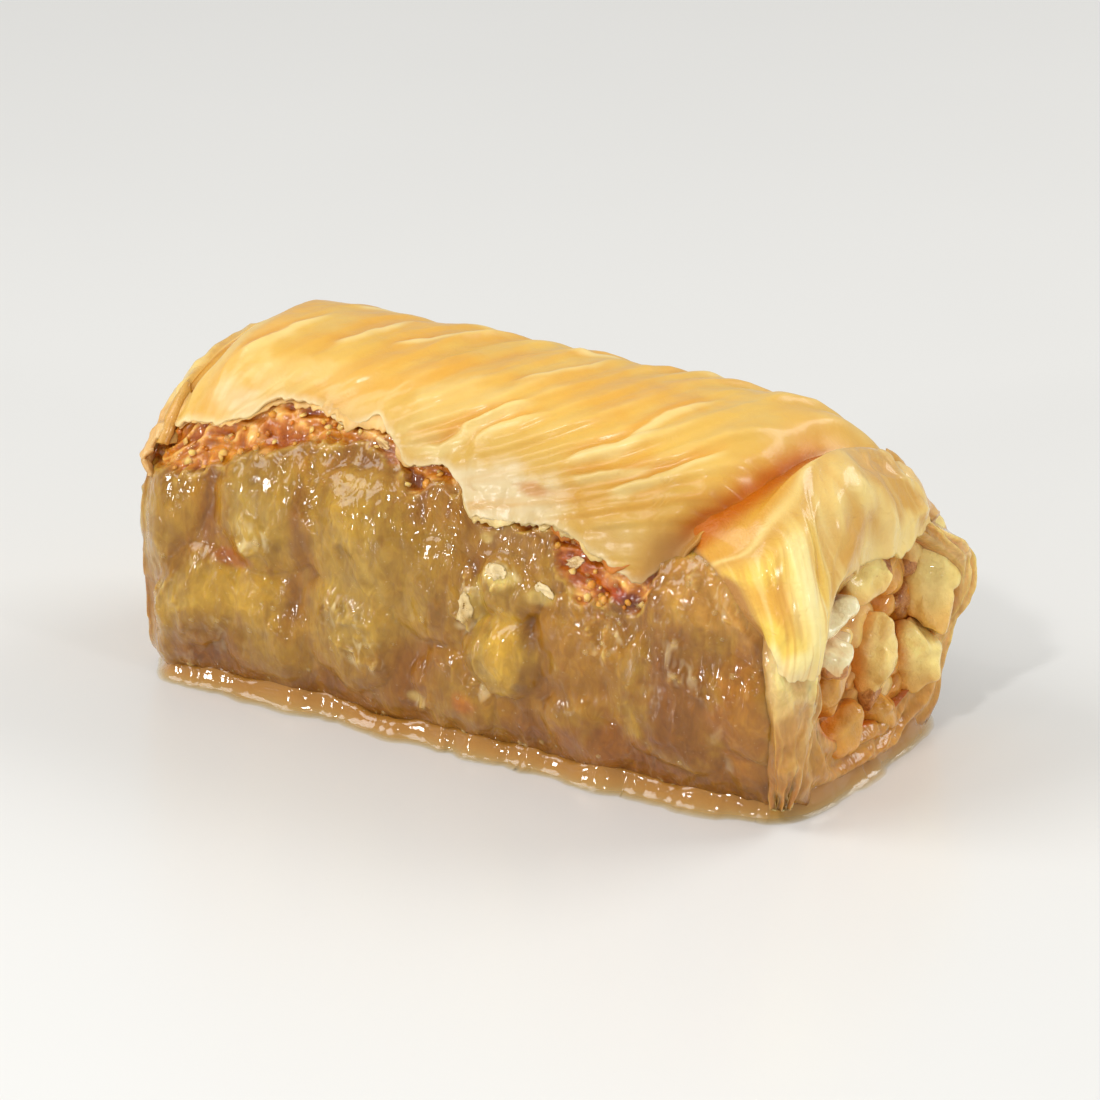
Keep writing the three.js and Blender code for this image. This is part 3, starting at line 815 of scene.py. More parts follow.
# %% Rim and channel
CHANNEL_WIDTH = 21.4
CHANNEL_FLOOR = 4.4
CHANNEL_ROOF = 26.0
CHANNEL_SHIFT = (0.0, 2.9)
CHANNEL_POWER = 2.6
HOOD_Z = (23.5, 20.4)
HOOD_DEPTH = 3.2
CURL_TURN, CURL_SPREAD, CURL_BULGE = 0.30, 0.085, 0.9
BACK_TURN, BACK_SPREAD, BACK_BULGE = 0.69, 0.115, 2.8


def channel(x, turn, margin=0.0):
    end = 0 if x < 0 else 1
    inward = HALF - abs(x)
    opened = float(1 - smooth(0.4, HOOD_DEPTH, inward))
    y = -np.sin(turn * 2 * np.pi)
    z = -np.cos(turn * 2 * np.pi)
    reach = (np.abs(y) ** CHANNEL_POWER + np.abs(z) ** CHANNEL_POWER) ** (-1 / CHANNEL_POWER)
    roof = CHANNEL_ROOF + (HOOD_Z[end] - CHANNEL_ROOF) * opened - margin
    floor = CHANNEL_FLOOR + margin
    half = CHANNEL_WIDTH / 2 - margin
    shift = CHANNEL_SHIFT[end] * float(smooth(0, 12, abs(x)))
    wobble = np.minimum(0, 0.5 * opened * np.sin(turn * 31 + 4 * end))
    across = shift + y * reach * (half + wobble)
    up = (roof + floor) / 2 + z * reach * ((roof - floor) / 2 + wobble)
    return np.stack([np.full_like(across, x), across, up - BOTTOM_TRIM], -1)


def rim_bulge(end, turn, across):
    """How far a cut face stands out, with the edges of the wet sheets on it."""
    around = np.sin(np.pi * across)
    layers = 0.3 * np.sin(across * 14 + 9 * np.sin(turn * 12 + end))
    ragged = 0.4 * np.sin(turn * 41 + 2 * end) * np.sin(turn * 17 + end)
    curl = end * CURL_BULGE * bell(turn - CURL_TURN, CURL_SPREAD)
    pushed = end * BACK_BULGE * bell(turn - BACK_TURN, BACK_SPREAD)
    sway = 2.2 * layered(turn * 9, across * 1.5, 61 + end)
    sheets = 0.16 * ridged(across * 6 + sway, turn * 5, 67 + end)
    crumple = 0.3 * layered(turn * 34, across * 3, 71 + end)
    fine = (sheets + crumple) * np.minimum(1, 4 * across) * np.minimum(1, 4 * (1 - across))
    return (0.4 + curl + layers) * around + (ragged + pushed) * np.minimum(1, 3 * across) + fine


# %% Body points
def body_points():
    turn = BODY_ROWS / ROW_COUNT
    rings = []
    places = []
    for x in np.linspace(-HALF, HALF, BODY_STATIONS):
        arc = row_arcs(x, BODY_ROWS)
        xs = np.full_like(arc, x)
        rings.append(on_roll(xs, arc, body_lift(xs, arc)))
        places.append(np.stack([xs, arc, np.zeros_like(arc)], -1))
    first, last = rings[0], rings[-1]
    inner = [channel(x, turn) for x in (HALF, HALF - 1.2, HALF - 2.4, HALF - 4, 0)]
    inner += [channel(-x, turn) for x in (HALF - 4, HALF - 2.4, HALF - 1.2, HALF)]

    def rim(end, outer, hole):
        made = []
        for across in np.linspace(0, 1, 22)[1:-1]:
            ring = outer + (hole - outer) * across
            ring[:, 0] += (1, -1)[end == 0] * rim_bulge(end, turn, across)
            made.append((ring, across))
        return made

    def place(x, arc, across):
        return np.stack([np.full_like(turn, x), arc, np.full_like(turn, across)], -1)

    near_rim = rim(1, last, inner[0])
    rings += [ring for ring, _ in near_rim] + inner
    places += [place(HALF, places[BODY_STATIONS - 1][:, 1], a) for _, a in near_rim]
    places += [place(ring[0, 0], turn, 2) for ring in inner]
    far_rim = rim(0, first, inner[-1])[::-1]
    rings += [ring for ring, _ in far_rim]
    places += [place(-HALF, places[0][:, 1], a) for _, a in far_rim]
    return np.array(rings), np.array(places)


BODY, BODY_PLACE = body_points()

# %% [markdown]
# ### Colour of the body
#
# Soaked pastry has no single colour. Where a nut presses against it, it is
# pale yellow, and the lump tops are lighter still as painted light; in the
# hollows the syrup stands deep and brown, darkened further as painted shade;
# near the tray it is reddish brown; and just under the torn cap it is toasted.
# The base colour comes from the relief itself, then a few named patches are
# painted over it, each with a ragged edge. Pale streaks on the crests of the
# crumpled film are painted glints.

# %% Painting helpers
def painted(base, x, arc, patches, seed):
    """Paints (x, arc, half-length, half-height, colour, strength) patches over a colour."""
    ragged = 0.34 * layered(x / 2.4, arc / 2.0, seed) + 0.16 * layered(x / 0.7, arc / 0.7, seed + 3)
    for px, parc, rx, rarc, colour, strength in patches:
        reach = np.hypot((x - px) / rx, (arc - parc) / rarc) + ragged
        base = mix(base, colour, strength * (1 - smooth(0.5, 1.2, reach)))
    return base


SOAKED = srgb(182, 134, 44)
OLIVE = srgb(180, 142, 56)
PALE_LUMP = srgb(208, 170, 72)
GLASSY = srgb(206, 178, 104)
SYRUP_BROWN = srgb(138, 84, 18)
TRAY_BROWN = srgb(138, 82, 18)
TOASTED = srgb(200, 122, 32)
TOAST_PALE_AND_LIGHT = srgb(240, 186, 108)
DEEP_ORANGE = srgb(172, 86, 8)
DARK_RED = srgb(112, 48, 10)
WET_WHITE = srgb(246, 226, 176)
AMBER_BROWN = srgb(146, 88, 16)

WET_PATCHES = [
    (-28.5, 21, 3.0, 3.0, OLIVE, 0.7), (-19.5, 20, 3.2, 3.6, GLASSY, 0.45),
    (-9.5, 17.5, 3.0, 3.4, PALE_LUMP, 0.6), (-1.5, 20.5, 3.4, 3.6, OLIVE, 0.8),
    # The two narrow amber-brown stripes on the next line lie in the valleys between lumps: partly syrup,
    # partly painted shade.
    (-24.4, 22, 1.0, 4.5, AMBER_BROWN, 0.6), (-14.5, 21, 1.2, 4.0, AMBER_BROWN, 0.5),
    (-22.0, 27.6, 5.0, 2.6, PALE_LUMP, 0.9), (-21.8, 25.0, 2.2, 0.9, DEEP_ORANGE, 0.7),
    (-8, 27, 6, 4.5, GLASSY, 0.4), (-26, 33, 5, 3.0, AMBER_BROWN, 0.5),
    (-17, 33, 5, 3.0, OLIVE, 0.6), (-4, 32, 6, 3.4, AMBER_BROWN, 0.45),
    (6.2, 27.2, 2.2, 4.0, srgb(228, 190, 88), 0.85), (3.4, 23.6, 1.0, 2.6, GLASSY, 0.7),
    (2.0, 33.4, 1.3, 1.2, TOASTED, 0.8), (-3.4, 34.4, 1.2, 0.8, WET_WHITE, 0.7),
    (5.7, 20.8, 1.6, 0.8, WET_WHITE, 0.9), (9.6, 22.0, 1.5, 0.8, WET_WHITE, 0.7),
    (13.5, 26, 4, 5, srgb(178, 124, 40), 0.7), (23.5, 28, 5, 7, AMBER_BROWN, 0.8),
    (16, 35.5, 8, 4, srgb(150, 88, 18), 0.8), (29, 27, 3, 6, srgb(186, 124, 44), 0.7),
    (25.0, 17.8, 4.6, 3.2, srgb(214, 166, 100), 0.85), (6.0, 18.4, 5.0, 1.6, srgb(184, 142, 76), 0.6),
    (3.6, 18.2, 0.7, 0.5, WET_WHITE, 0.5),
    (-6, -24, 6, 5, OLIVE, 0.8), (22, -27, 5, 4, PALE_LUMP, 0.6), (-20, -28, 5, 4, GLASSY, 0.5),
    (9, -31, 7, 4, AMBER_BROWN, 0.6), (-24, -34, 6, 3, AMBER_BROWN, 0.6),
    (4, -22, 2.0, 3.0, srgb(232, 192, 84), 0.8), (14, -24, 3, 3, GLASSY, 0.5),
]
BAND_PATCHES = [
    (-24.0, 16.2, 2.4, 2.0, srgb(206, 130, 24), 0.9), (-25.6, 18.0, 1.8, 0.7, DARK_RED, 0.8),
    (-19.5, 13.0, 2.2, 1.2, DEEP_ORANGE, 0.7), (-13.5, 12.8, 3.0, 1.0, srgb(210, 138, 44), 0.8),
    (-7.2, 12.9, 1.4, 1.2, srgb(164, 104, 66), 0.9), (-5.0, 14.8, 1.8, 0.7, srgb(120, 66, 26), 0.8),
    (0.5, 15.2, 1.6, 1.2, srgb(160, 116, 50), 0.8), (13.2, 19.0, 3.0, 1.6, DEEP_ORANGE, 1.0),
    (16.4, 20.6, 2.0, 1.0, srgb(168, 70, 6), 1.0), (18.0, 20.8, 1.2, 0.9, DARK_RED, 0.9),
    (-18, -18, 4, 1.4, DEEP_ORANGE, 0.7), (10, -20, 3, 1.2, DEEP_ORANGE, 0.8),
]


# %% Tint of the body
def band_tint(x, arc):
    """Toasted crumbs: pale on their tops and deep orange between them, partly their toast and partly painted
    light and shade.
    """
    height = crumble(x, arc)
    colour = mix(DEEP_ORANGE, TOASTED, smooth(0.1, 0.42, height))
    colour = mix(colour, TOAST_PALE_AND_LIGHT, 0.9 * smooth(0.45, 0.8, height + 0.2 * layered(x / 2, arc / 2, 431)))
    return painted(colour, x, arc, BAND_PATCHES, 29)


WET_DEPTH = np.array([0.80, 0.73, 0.42])     # the syrup takes out blue first


def body_tint(place):
    x, arc, across = place[..., 0], place[..., 1], place[..., 2]
    side = np.abs(arc)
    lumps = lump_relief(x, arc) * wet_share(arc)
    small = wet_wrinkles(x, arc)
    colour = mix(SOAKED, OLIVE, smooth(0.2, 1.0, lumps))
    # Lighter on the highest relief and darker brown in the hollows between lumps: partly nut and syrup
    # showing through, partly painted light and shade.
    colour = coats(
        colour,
        (GLASSY, 0.5 * smooth(0.9, 1.9, lumps + 0.7 * small)),
        (SYRUP_BROWN, 0.6 * smooth(0.65, -0.1, lumps + 0.8 * small)))
    veil = layered(x / 1.5 + 0.5 * small, arc / 5.0, 43)
    colour = coats(
        colour,
        (PALE_LUMP, 0.45 * smooth(0.1, 0.6, veil)),
        (SYRUP_BROWN, 0.5 * smooth(-0.1, -0.6, veil)))
    colour = painted(colour, x, arc, WET_PATCHES, 23)
    # Pale streaks on the crests of the crumpled film: painted glints.
    colour = mix(colour, WET_WHITE, 0.4 * smooth(0.25, 0.6, film_creases(x, arc)))
    foot = side + 1.2 * layered(x / 5, arc / 5, 41)
    colour = coats(
        colour,
        (TRAY_BROWN, 0.65 * smooth(32, 38.5, foot)),
        (srgb(96, 54, 12), 0.5 * smooth(38, 40.5, side)))
    low_edge = side - band_low(x, arc)
    broken = smooth(-0.3, 0.4, layered(x / 0.9, arc / 0.9, 433))
    colour = mix(colour, srgb(226, 196, 124), 0.6 * broken * bell(low_edge - 0.4, 0.35))
    band = band_share(x, arc)[..., None]
    colour = colour * WET_DEPTH * (1 - band) + band_tint(x, arc) * band
    cut = smooth(0.0, 0.3, across) * smooth(3, 1.5, across)
    lines = 0.5 + 0.5 * layered(arc / 3, across * 5, 47)
    rim = mix(srgb(216, 178, 104), srgb(182, 128, 52), lines)
    rim = coats(
        rim,
        (srgb(232, 198, 132), smooth(-4, -14, arc) * smooth(-36, -26, arc) * 0.7),
        (srgb(198, 138, 46), smooth(28, 38, side) * 0.8))
    colour = mix(colour, rim, cut)
    return mix(colour, srgb(192, 100, 12), smooth(1.0, 1.8, across))


def film_field(place):
    """How much loose, wrinkled film lies on the body; the wet finish paints it paler, partly as painted
    sheen.
    """
    x, arc = place[..., 0], place[..., 1]
    thin = 0.5 * smooth(0.1, 0.6, layered(x / 3, arc / 4, 441))
    share = np.maximum(thin, 1.1 * film_share(x, arc)) * smooth(12, 15, np.abs(arc))
    return np.minimum(1, share) * (1 - band_share(x, arc)) * (place[..., 2] < 1.5)


# %% Body object
wet_pastry = closed(build_mesh(
    "wet_pastry", BODY.reshape(-1, 3), ring_faces(BODY), WET,
    fields={"film": film_field(BODY_PLACE)}, tint=body_tint(BODY_PLACE)))

# %% [markdown]
# ## Sheets
#
# Every loose layer of phyllo here is a sheet: a grid of points with a second
# grid under it and a strip closing the edge. Blender's Solidify modifier
# could do the same, but here the thickness changes over the sheet, down to
# paper at the torn edge.

# %% Closed sheet from a grid
def grid_normals(grid, heart):
    along = np.gradient(grid, axis=1)
    down = np.gradient(grid, axis=0)
    normal = np.cross(along, down)
    normal = normal / np.maximum(np.linalg.norm(normal, axis=-1, keepdims=True), 1e-9)
    outward = (normal * (grid - heart)).sum(-1).mean()
    return normal if outward > 0 else -normal


def edge_loop(rows, columns):
    top = list(range(columns - 1))
    right = [r * columns + columns - 1 for r in range(rows - 1)]
    low = [(rows - 1) * columns + c for c in range(columns - 1, 0, -1)]
    left = [r * columns for r in range(rows - 1, 0, -1)]
    return np.array(top + right + low + left)


def sheet_mesh(grid, thickness, heart):
    """Points and faces of a closed sheet, outer side first."""
    rows, columns = grid.shape[:2]
    inner = grid - grid_normals(grid, heart) * np.asarray(thickness)[..., None]
    inner[..., 2] = np.maximum(inner[..., 2], 0)
    count = rows * columns
    outer_faces = grid_faces(rows, columns)
    inner_faces = outer_faces[:, ::-1] + count
    loop = edge_loop(rows, columns)
    after = np.roll(loop, -1)
    rim = np.stack([after, loop, loop + count, after + count], 1)
    points = np.concatenate([grid.reshape(-1, 3), inner.reshape(-1, 3)])
    return points, np.concatenate([outer_faces, inner_faces, rim])


def twice(values):
    values = np.asarray(values)
    flat = values.reshape(-1, *values.shape[2:])
    return np.concatenate([flat, flat])


# %% [markdown]
# ## The crisp cap
#
# The cap is a stack of dry sheets that tightened as the roll was turned, so
# its folds run slanting across the ridge. It lies nearly a millimetre proud
# of the wet sides, thins towards the torn edge, and curls up here and there.
# The wrinkles are drawn in `flow` coordinates, a map of the sheet in which
# every fold is a straight line, so they all run with the folds.

# %% Wrinkles of the cap
CREST_LINES = [          # height, width and the (x, arc) points of a single sharp crease
    (0.42, 0.55, (-5.8, 12.6), (-2.5, 11.6), (-0.7, 10.2), (1.3, 8.2), (3.7, 6.4), (6.6, 4.8)),
    (0.30, 0.50, (-0.4, 11.4), (2.0, 9.5), (4.4, 7.8), (7.4, 6.2)),
    (0.36, 0.60, (8.6, 11.2), (11.5, 9.8), (13.8, 8.6), (15.8, 7.0), (18.2, 5.0)),
    (0.26, 0.50, (9.4, 12.4), (13.0, 11.4), (16.7, 10.2), (20.0, 8.0)),
    (0.34, 0.60, (13.0, 13.4), (16.5, 11.8), (19.7, 9.6), (22.4, 7.4), (24.3, 4.4)),
    (0.30, 0.60, (13.8, 8.8), (15.3, 6.2), (17.2, 2.2), (19.6, -2.0)),
    (0.34, 0.60, (-13.8, 3.6), (-11.0, 0.6), (-9.0, -1.4), (-6.8, -4.6), (-3.6, -7.4)),
    (0.30, 0.60, (-18.6, 4.6), (-16.3, 2.6), (-14.7, -1.0), (-14.0, -6.4)),
    (0.26, 0.50, (0.2, 5.0), (3.0, 2.4), (5.3, -1.0), (6.0, -6.0)),
    (0.30, 0.60, (-26.0, 8.6), (-23.4, 5.4), (-21.8, 1.6), (-20.6, -3.0)),
    (0.34, 0.60, (-22.0, -3.4), (-19.0, -6.6), (-16.4, -9.4), (-14.6, -12.6)),
    (0.34, 0.60, (0.0, -2.4), (3.4, -5.0), (6.4, -8.6), (8.6, -12.6)),
    (0.30, 0.55, (11.0, -4.0), (14.6, -7.4), (17.6, -10.6), (19.0, -13.4)),
    (0.30, 0.55, (-12.0, -5.6), (-8.6, -8.6), (-5.6, -12.8)),
]


def crest_lines(x, arc):
    """Height of the sharp creases, and how near a point lies to their shaded side."""
    height, shade = 0 * x, 0 * x
    wander_x = 0.35 * layered(x / 2.4, arc / 2.4, 511)
    wander_arc = 0.35 * layered(x / 2.4, arc / 2.4, 517)
    for rise, width, *points in CREST_LINES:
        knots = np.array(points)
        steps = np.diff(knots, axis=0)
        nearest, side, run = 99 + 0 * x, 0 * x, 0 * x
        for i, (start, step) in enumerate(zip(knots[:-1], steps)):
            u, v = x + wander_x - start[0], arc + wander_arc - start[1]
            t = np.clip((u * step[0] + v * step[1]) / (step @ step), 0, 1)
            apart = np.hypot(u - t * step[0], v - t * step[1])
            closer = apart < nearest
            nearest = np.where(closer, apart, nearest)
            side = np.where(closer, u * step[1] - v * step[0], side)
            run = np.where(closer, (i + t) / len(steps), run)
        present = smooth(0, 0.25, run) * smooth(1, 0.6, run)
        wide = np.where(side > 0, 0.6 * width, 1.6 * width)
        height = np.maximum(height, rise * present * bell(nearest, wide))
        shade = np.maximum(shade, present * bell(nearest - 1.1 * width, 0.9 * width) * (side > 0))
    return height, shade


def flow_wrinkles(x, arc):
    across = flow_map(x, arc) + 1.6 * layered(x / 8, arc / 8, 83) + 0.5 * layered(x / 3, arc / 3.5, 84)
    broad = 0.26 * ridged(across / 3.4, arc / 9, 85)
    calm = 0.7 - 0.6 * smooth(-6, 4, x) * smooth(1, 7, arc)
    thin = 0.10 * calm * ridged(across / 1.5, arc / 5, 87) * smooth(0.0, 0.6, layered(x / 5, arc / 6, 88))
    hair = 0.02 * noise(across / 0.5, arc / 3, 89)
    gather = 0.25 + 0.75 * smooth(-0.3, 0.5, layered(x / 9, arc / 9, 91))
    stray = 0.10 * ridged(x / 2.6 - across / 6, arc / 2.6, 93)
    dents = 0.10 * layered(x / 2.6, arc / 2.2, 97)
    stray = stray * smooth(0.0, 0.6, layered(x / 6, arc / 6, 94))
    return gather * (broad * (0.4 + 0.6 * calm) + thin) + hair + dents + stray


def bubbles(x, arc):
    """Blisters of the thin film at the lower edge of the cap."""
    front = bell((x - 6) / 7, 1) * bell(arc - 14.2, 2.4)
    back = bell((x + 4) / 8, 1) * bell(arc + 13.5, 2.4)
    return (front + back) * pebbles(x / 1.7 + 0.3 * layered(x, arc, 99), arc / 1.2, 98)


# %% Cap grid
CAP_X_COUNT = 300
CAP_ARC_COUNT = 164
CAP_THICKNESS = 0.9
SHEET_THIN = 0.36


def teeth(x, seed):
    """Ragged torn edge: rare bites, small teeth and fine fray, in millimetres."""
    bites = 1.3 * np.maximum(0, layered(x / 3.1, x * 0 + 0.5, seed) - 0.25)
    small = 0.45 * np.abs(layered(x / 1.3, x * 0 + 0.5, seed + 5))
    fray = 0.16 * noise(x / 0.35, x * 0 + 0.5, seed + 9)
    return 0.3 - bites - small + fray


def cap_lift(x, arc, near):
    inward = HALF - np.abs(x)
    calm = smooth(0, 3, inward)
    thick = between(0.42, CAP_THICKNESS, smooth(0, 4.5, near))
    folds = fold_relief(x, arc) * (0.4 + 0.6 * calm) * (0.35 + 0.65 * smooth(0, 3, near))
    wrinkles = flow_wrinkles(x, arc) * (0.5 + 0.5 * smooth(0, 2, near))
    curl = 0.7 * np.maximum(0, noise(x / 2.3, arc * 0, 95) - 0.1) * (1 - smooth(0, 1.8, near))
    curl = curl * (1 - smooth(13, 17, x))
    drop = 0.6 + 0.4 * smooth(20, 10, np.abs(arc))
    wrinkles = wrinkles + 0.32 * bubbles(x, arc) + crest_lines(x, arc)[0] - shoulder_drop(x, arc)
    rise = thick + folds + wrinkles + curl - END_ROUNDING * drop * bell(inward, END_ROUNDING)
    return between(SHEET_THIN - 0.7, rise, seam(x, arc)) + 0.6 * np.minimum(0, crease_relief(x, arc))


def seam(x, arc):
    """0 where the cap tucks in under a hood at either cut, 1 away from it."""
    near = smooth(0.2, 3.0, crease_x(arc) + 0.5 - x)
    far = smooth(0.2, 3.0, crease_x(-arc) + 0.5 + x)
    return near * far


def cap_grid():
    share = np.linspace(0, 1, CAP_ARC_COUNT)
    share = share - 0.06 * np.sin(2 * np.pi * share)
    along = np.linspace(0, 1, CAP_X_COUNT)
    across, run = np.meshgrid(share, along, indexing="ij")
    x = -HALF + run * LENGTH
    for _ in range(12):
        arc = -torn_back(x) + (1 - across) * (torn_front(x) + torn_back(x))
        right = crease_x(arc) + 0.5
        left = -crease_x(-arc) - 0.5
        x = 0.5 * x + 0.5 * (left + run * (right - left))
    front, back = torn_front(x) - arc, arc + torn_back(x)
    arc = arc + teeth(x, 101) * np.exp(-front / 1.2) - teeth(x, 131) * np.exp(-back / 1.2)
    return x, arc, np.minimum(front, back)


CAP_X, CAP_ARC, CAP_NEAR = cap_grid()
CAP = on_roll(CAP_X, CAP_ARC, cap_lift(CAP_X, CAP_ARC, CAP_NEAR))

# %% Tint of the cap
GOLDEN = srgb(228, 188, 94)
TOAST_GOLD = srgb(228, 170, 66)
CREST_PALE_AND_HIGHLIGHT = srgb(242, 216, 144)
TORN_CREAM = srgb(244, 230, 190)
FOLD_ORANGE_SHADE = srgb(208, 136, 44)
# The pale patches are partly pale toast and partly painted highlight; the small orange one is painted shade
# between blisters.
CAP_PATCHES = [
    (10, 2, 9, 5, TOAST_GOLD, 0.55), (-14, -3, 8, 4, TOAST_GOLD, 0.45),
    (-6, 4, 8, 3, TOAST_GOLD, 0.35), (-2, 8, 6, 3, CREST_PALE_AND_HIGHLIGHT, 0.35),
    (5, 14.2, 7, 2.6, TORN_CREAM, 0.8), (7.5, 13.4, 1.6, 0.8, FOLD_ORANGE_SHADE, 0.7),
    (15, 12, 5, 4, TOAST_GOLD, 0.5), (22.5, 15.6, 2.6, 2.4, srgb(196, 150, 76), 0.8),
    (-27, 6, 5, 5, CREST_PALE_AND_HIGHLIGHT, 0.5),
    (17, 16, 4, 2, srgb(222, 190, 116), 0.6), (26, -3, 4, 4, TOAST_GOLD, 0.3),
    (-18, 8.5, 6, 2.5, CREST_PALE_AND_HIGHLIGHT, 0.5), (-8, -12, 8, 4, TOAST_GOLD, 0.5), (14, -10, 7, 4, CREST_PALE_AND_HIGHLIGHT, 0.4),
    (-24, 11.5, 4, 1.6, TORN_CREAM, 0.5), (-4, 11.6, 4, 1.2, CREST_PALE_AND_HIGHLIGHT, 0.6),
]


def cap_tint(x, arc, near):
    height = fold_relief(x, arc) + 1.2 * flow_wrinkles(x, arc)
    colour = painted(GOLDEN, x, arc, CAP_PATCHES, 57)
    streak = layered(flow_map(x, arc) / 3.4, arc / 9, 305)
    # The streaks are the sheet's own toast; the paler fold tops are painted light and the orange fold hollows
    # painted shade.
    colour = coats(
        colour,
        (TOAST_GOLD, 0.55 * smooth(0.05, 0.6, streak)),
        (CREST_PALE_AND_HIGHLIGHT, 0.65 * smooth(0.35, 1.1, height)),
        (FOLD_ORANGE_SHADE, 0.4 * smooth(0.2, -0.4, height)))
    line, beside = crest_lines(x, arc)
    # Pale along each sharp crease and orange on its shaded side: painted highlight and painted shade; orange
    # between the blisters is painted shade too.
    colour = coats(
        colour,
        (srgb(220, 156, 56), 0.6 * beside),
        (CREST_PALE_AND_HIGHLIGHT, 0.9 * smooth(0.08, 0.3, line)),
        (FOLD_ORANGE_SHADE, 0.35 * smooth(0.5, 0.1, bubbles(x, arc)) * bell(x - 6, 6) * bell(arc - 14, 2)))
    offset = x - crease_x(arc) + 0.7
    valley = np.where(offset < 0, bell(offset, 1.2 + 0.05 * np.maximum(0, arc)), 1)
    # The first two layers paint the crease valley orange, darkest in its bottom: painted shade.
    colour = coats(
        colour,
        (srgb(222, 152, 40), 0.75 * valley * smooth(-5, 1, arc)),
        (srgb(192, 104, 6), 0.95 * bell(offset + 0.1, 0.6) * smooth(-3, 3, arc)),
        (TORN_CREAM, 0.6 * (1 - smooth(0, 0.8, near))))
    corner = smooth(18, 21.5, x + 0.4 * arc - 6) * smooth(12.5, 16, arc)
    colour = mix(colour, srgb(188, 142, 80), 0.85 * corner)
    shaded = 1 - 0.24 * smooth(7, 13, np.abs(arc)) * smooth(-32, -12, x)
    return colour * shaded[..., None]


def flow_field(x, arc):
    return np.stack([flow_map(x, arc), arc / 9, x * 0], -1) * MM


AXIS_HEIGHT = 14.0


def on_axis(grid):
    """A point inside the roll for each point of a grid, to tell in from out."""
    heart = grid.copy()
    heart[..., 1:] = (0, AXIS_HEIGHT)
    return heart


cap_sheet = sheet_mesh(CAP, np.full(CAP.shape[:2], SHEET_THIN), on_axis(CAP))
crisp_cap = closed(build_mesh(
    "crisp_cap", *cap_sheet, CRISP, fields={"flow": twice(flow_field(CAP_X, CAP_ARC))},
    tint=twice(cap_tint(CAP_X, CAP_ARC, CAP_NEAR))))

# %% [markdown]
# ## Layers under the torn edge
#
# The cap tore sheet by sheet, so thin ragged strips of the sheets below peep
# out under its edge, each a little lower and wetter than the one above. They
# are narrow grids that follow the same torn curve with other teeth.

# %% Torn layers
TORN_LAYERS = [           # side, start, end, seed, how far it peeps out, lift, colour
    (1, -31.5, -1.0, 211, 0.1, 0.30, srgb(240, 196, 124)),
    (1, -2.0, 17.0, 223, 0.1, 0.34, srgb(232, 204, 138)),
    (1, 8.0, 18.5, 251, 0.7, 0.20, srgb(198, 122, 44)),
    (-1, -21.0, 30.0, 263, 0.3, 0.30, srgb(222, 170, 90)),
    (-1, -20.0, 14.0, 277, 1.0, 0.20, srgb(196, 122, 48)),
]
LAYER_SHEET = 0.12


def torn_layer(side, start, end, seed, peep, lift, colour):
    count = int((end - start) / 0.16)
    xs = np.linspace(start, end, count)
    depth = np.linspace(0, 1, 12)
    share, x = np.meshgrid(depth, xs, indexing="ij")
    edge = torn_edge(x, side)
    ends = smooth(start, start + 2.5, x) * (1 - smooth(end - 2.5, end, x))
    fringe = 0.6 * layered(x / 1.6, x * 0, seed + 6) + 0.16 * noise(x / 0.4, x * 0, seed + 8)
    lower = edge + ends * (peep + teeth(x, seed) + fringe) - 1.5 * (1 - ends)
    upper = edge - 3.0
    arc = upper + (lower - upper) * share
    curl_up = 0.35 * share ** 3 * noise(x / 1.6, arc * 0, seed + 2)
    raised = lift + 0.12 * layered(x / 1.6, arc / 1.6, seed) + curl_up
    under = body_lift(x, side * arc) * 0.8
    grid = on_roll(x, side * arc, np.maximum(raised, raised + under))
    shade = 0.88 + 0.26 * layered(x / 1.0, arc / 0.7, seed + 4)
    return grid, x, side * arc, colour * shade[..., None]


torn_parts = []
for layer in TORN_LAYERS:
    grid, x, arc, shade = torn_layer(*layer)
    points, faces = sheet_mesh(grid, np.full(grid.shape[:2], LAYER_SHEET), on_axis(grid))
    torn_parts.append((points, faces, twice(shade), {"flow": twice(flow_field(x, arc))}))
torn_layers = closed(mixed_mesh("torn_layers", torn_parts, CRISP))

# %% [markdown]
# ## Sheets that droop over the cut
#
# The knife drags the top sheets over the opening, so at each cut a hood of
# pastry hangs over the nuts, gathered to one side where the wet layers curl
# round in a thick pale fold. The hood is a patch of smooth curves: a few
# curves run from the ridge over the edge to the free lip, and the patch
# passes through them all. The other cut gets the same patches turned round
# and fitted to its own end of the roll, with other wrinkles.

# %% Smooth curves through points
def curve_through(points, count):
    """Catmull-Rom curve through points along the first axis."""
    points = np.asarray(points, float)
    padded = np.concatenate([2 * points[:1] - points[1:2], points, 2 * points[-1:] - points[-2:-1]])
    where = np.linspace(0, len(points) - 1, count)
    i = np.minimum(where.astype(int), len(points) - 2)
    t = (where - i).reshape(-1, *([1] * (points.ndim - 1)))
    a, b, c, d = (padded[i + k] for k in range(4))
    return 0.5 * (2 * b + (c - a) * t + (2 * a - 5 * b + 4 * c - d) * t ** 2
                  + (3 * b - a - 3 * c + d) * t ** 3)


def patch_through(columns, rows, count):
    """Grid through columns of points; the columns may have different lengths."""
    shaped = np.array([curve_through(column, rows) for column in columns])
    return curve_through(shaped, count).transpose(1, 0, 2)


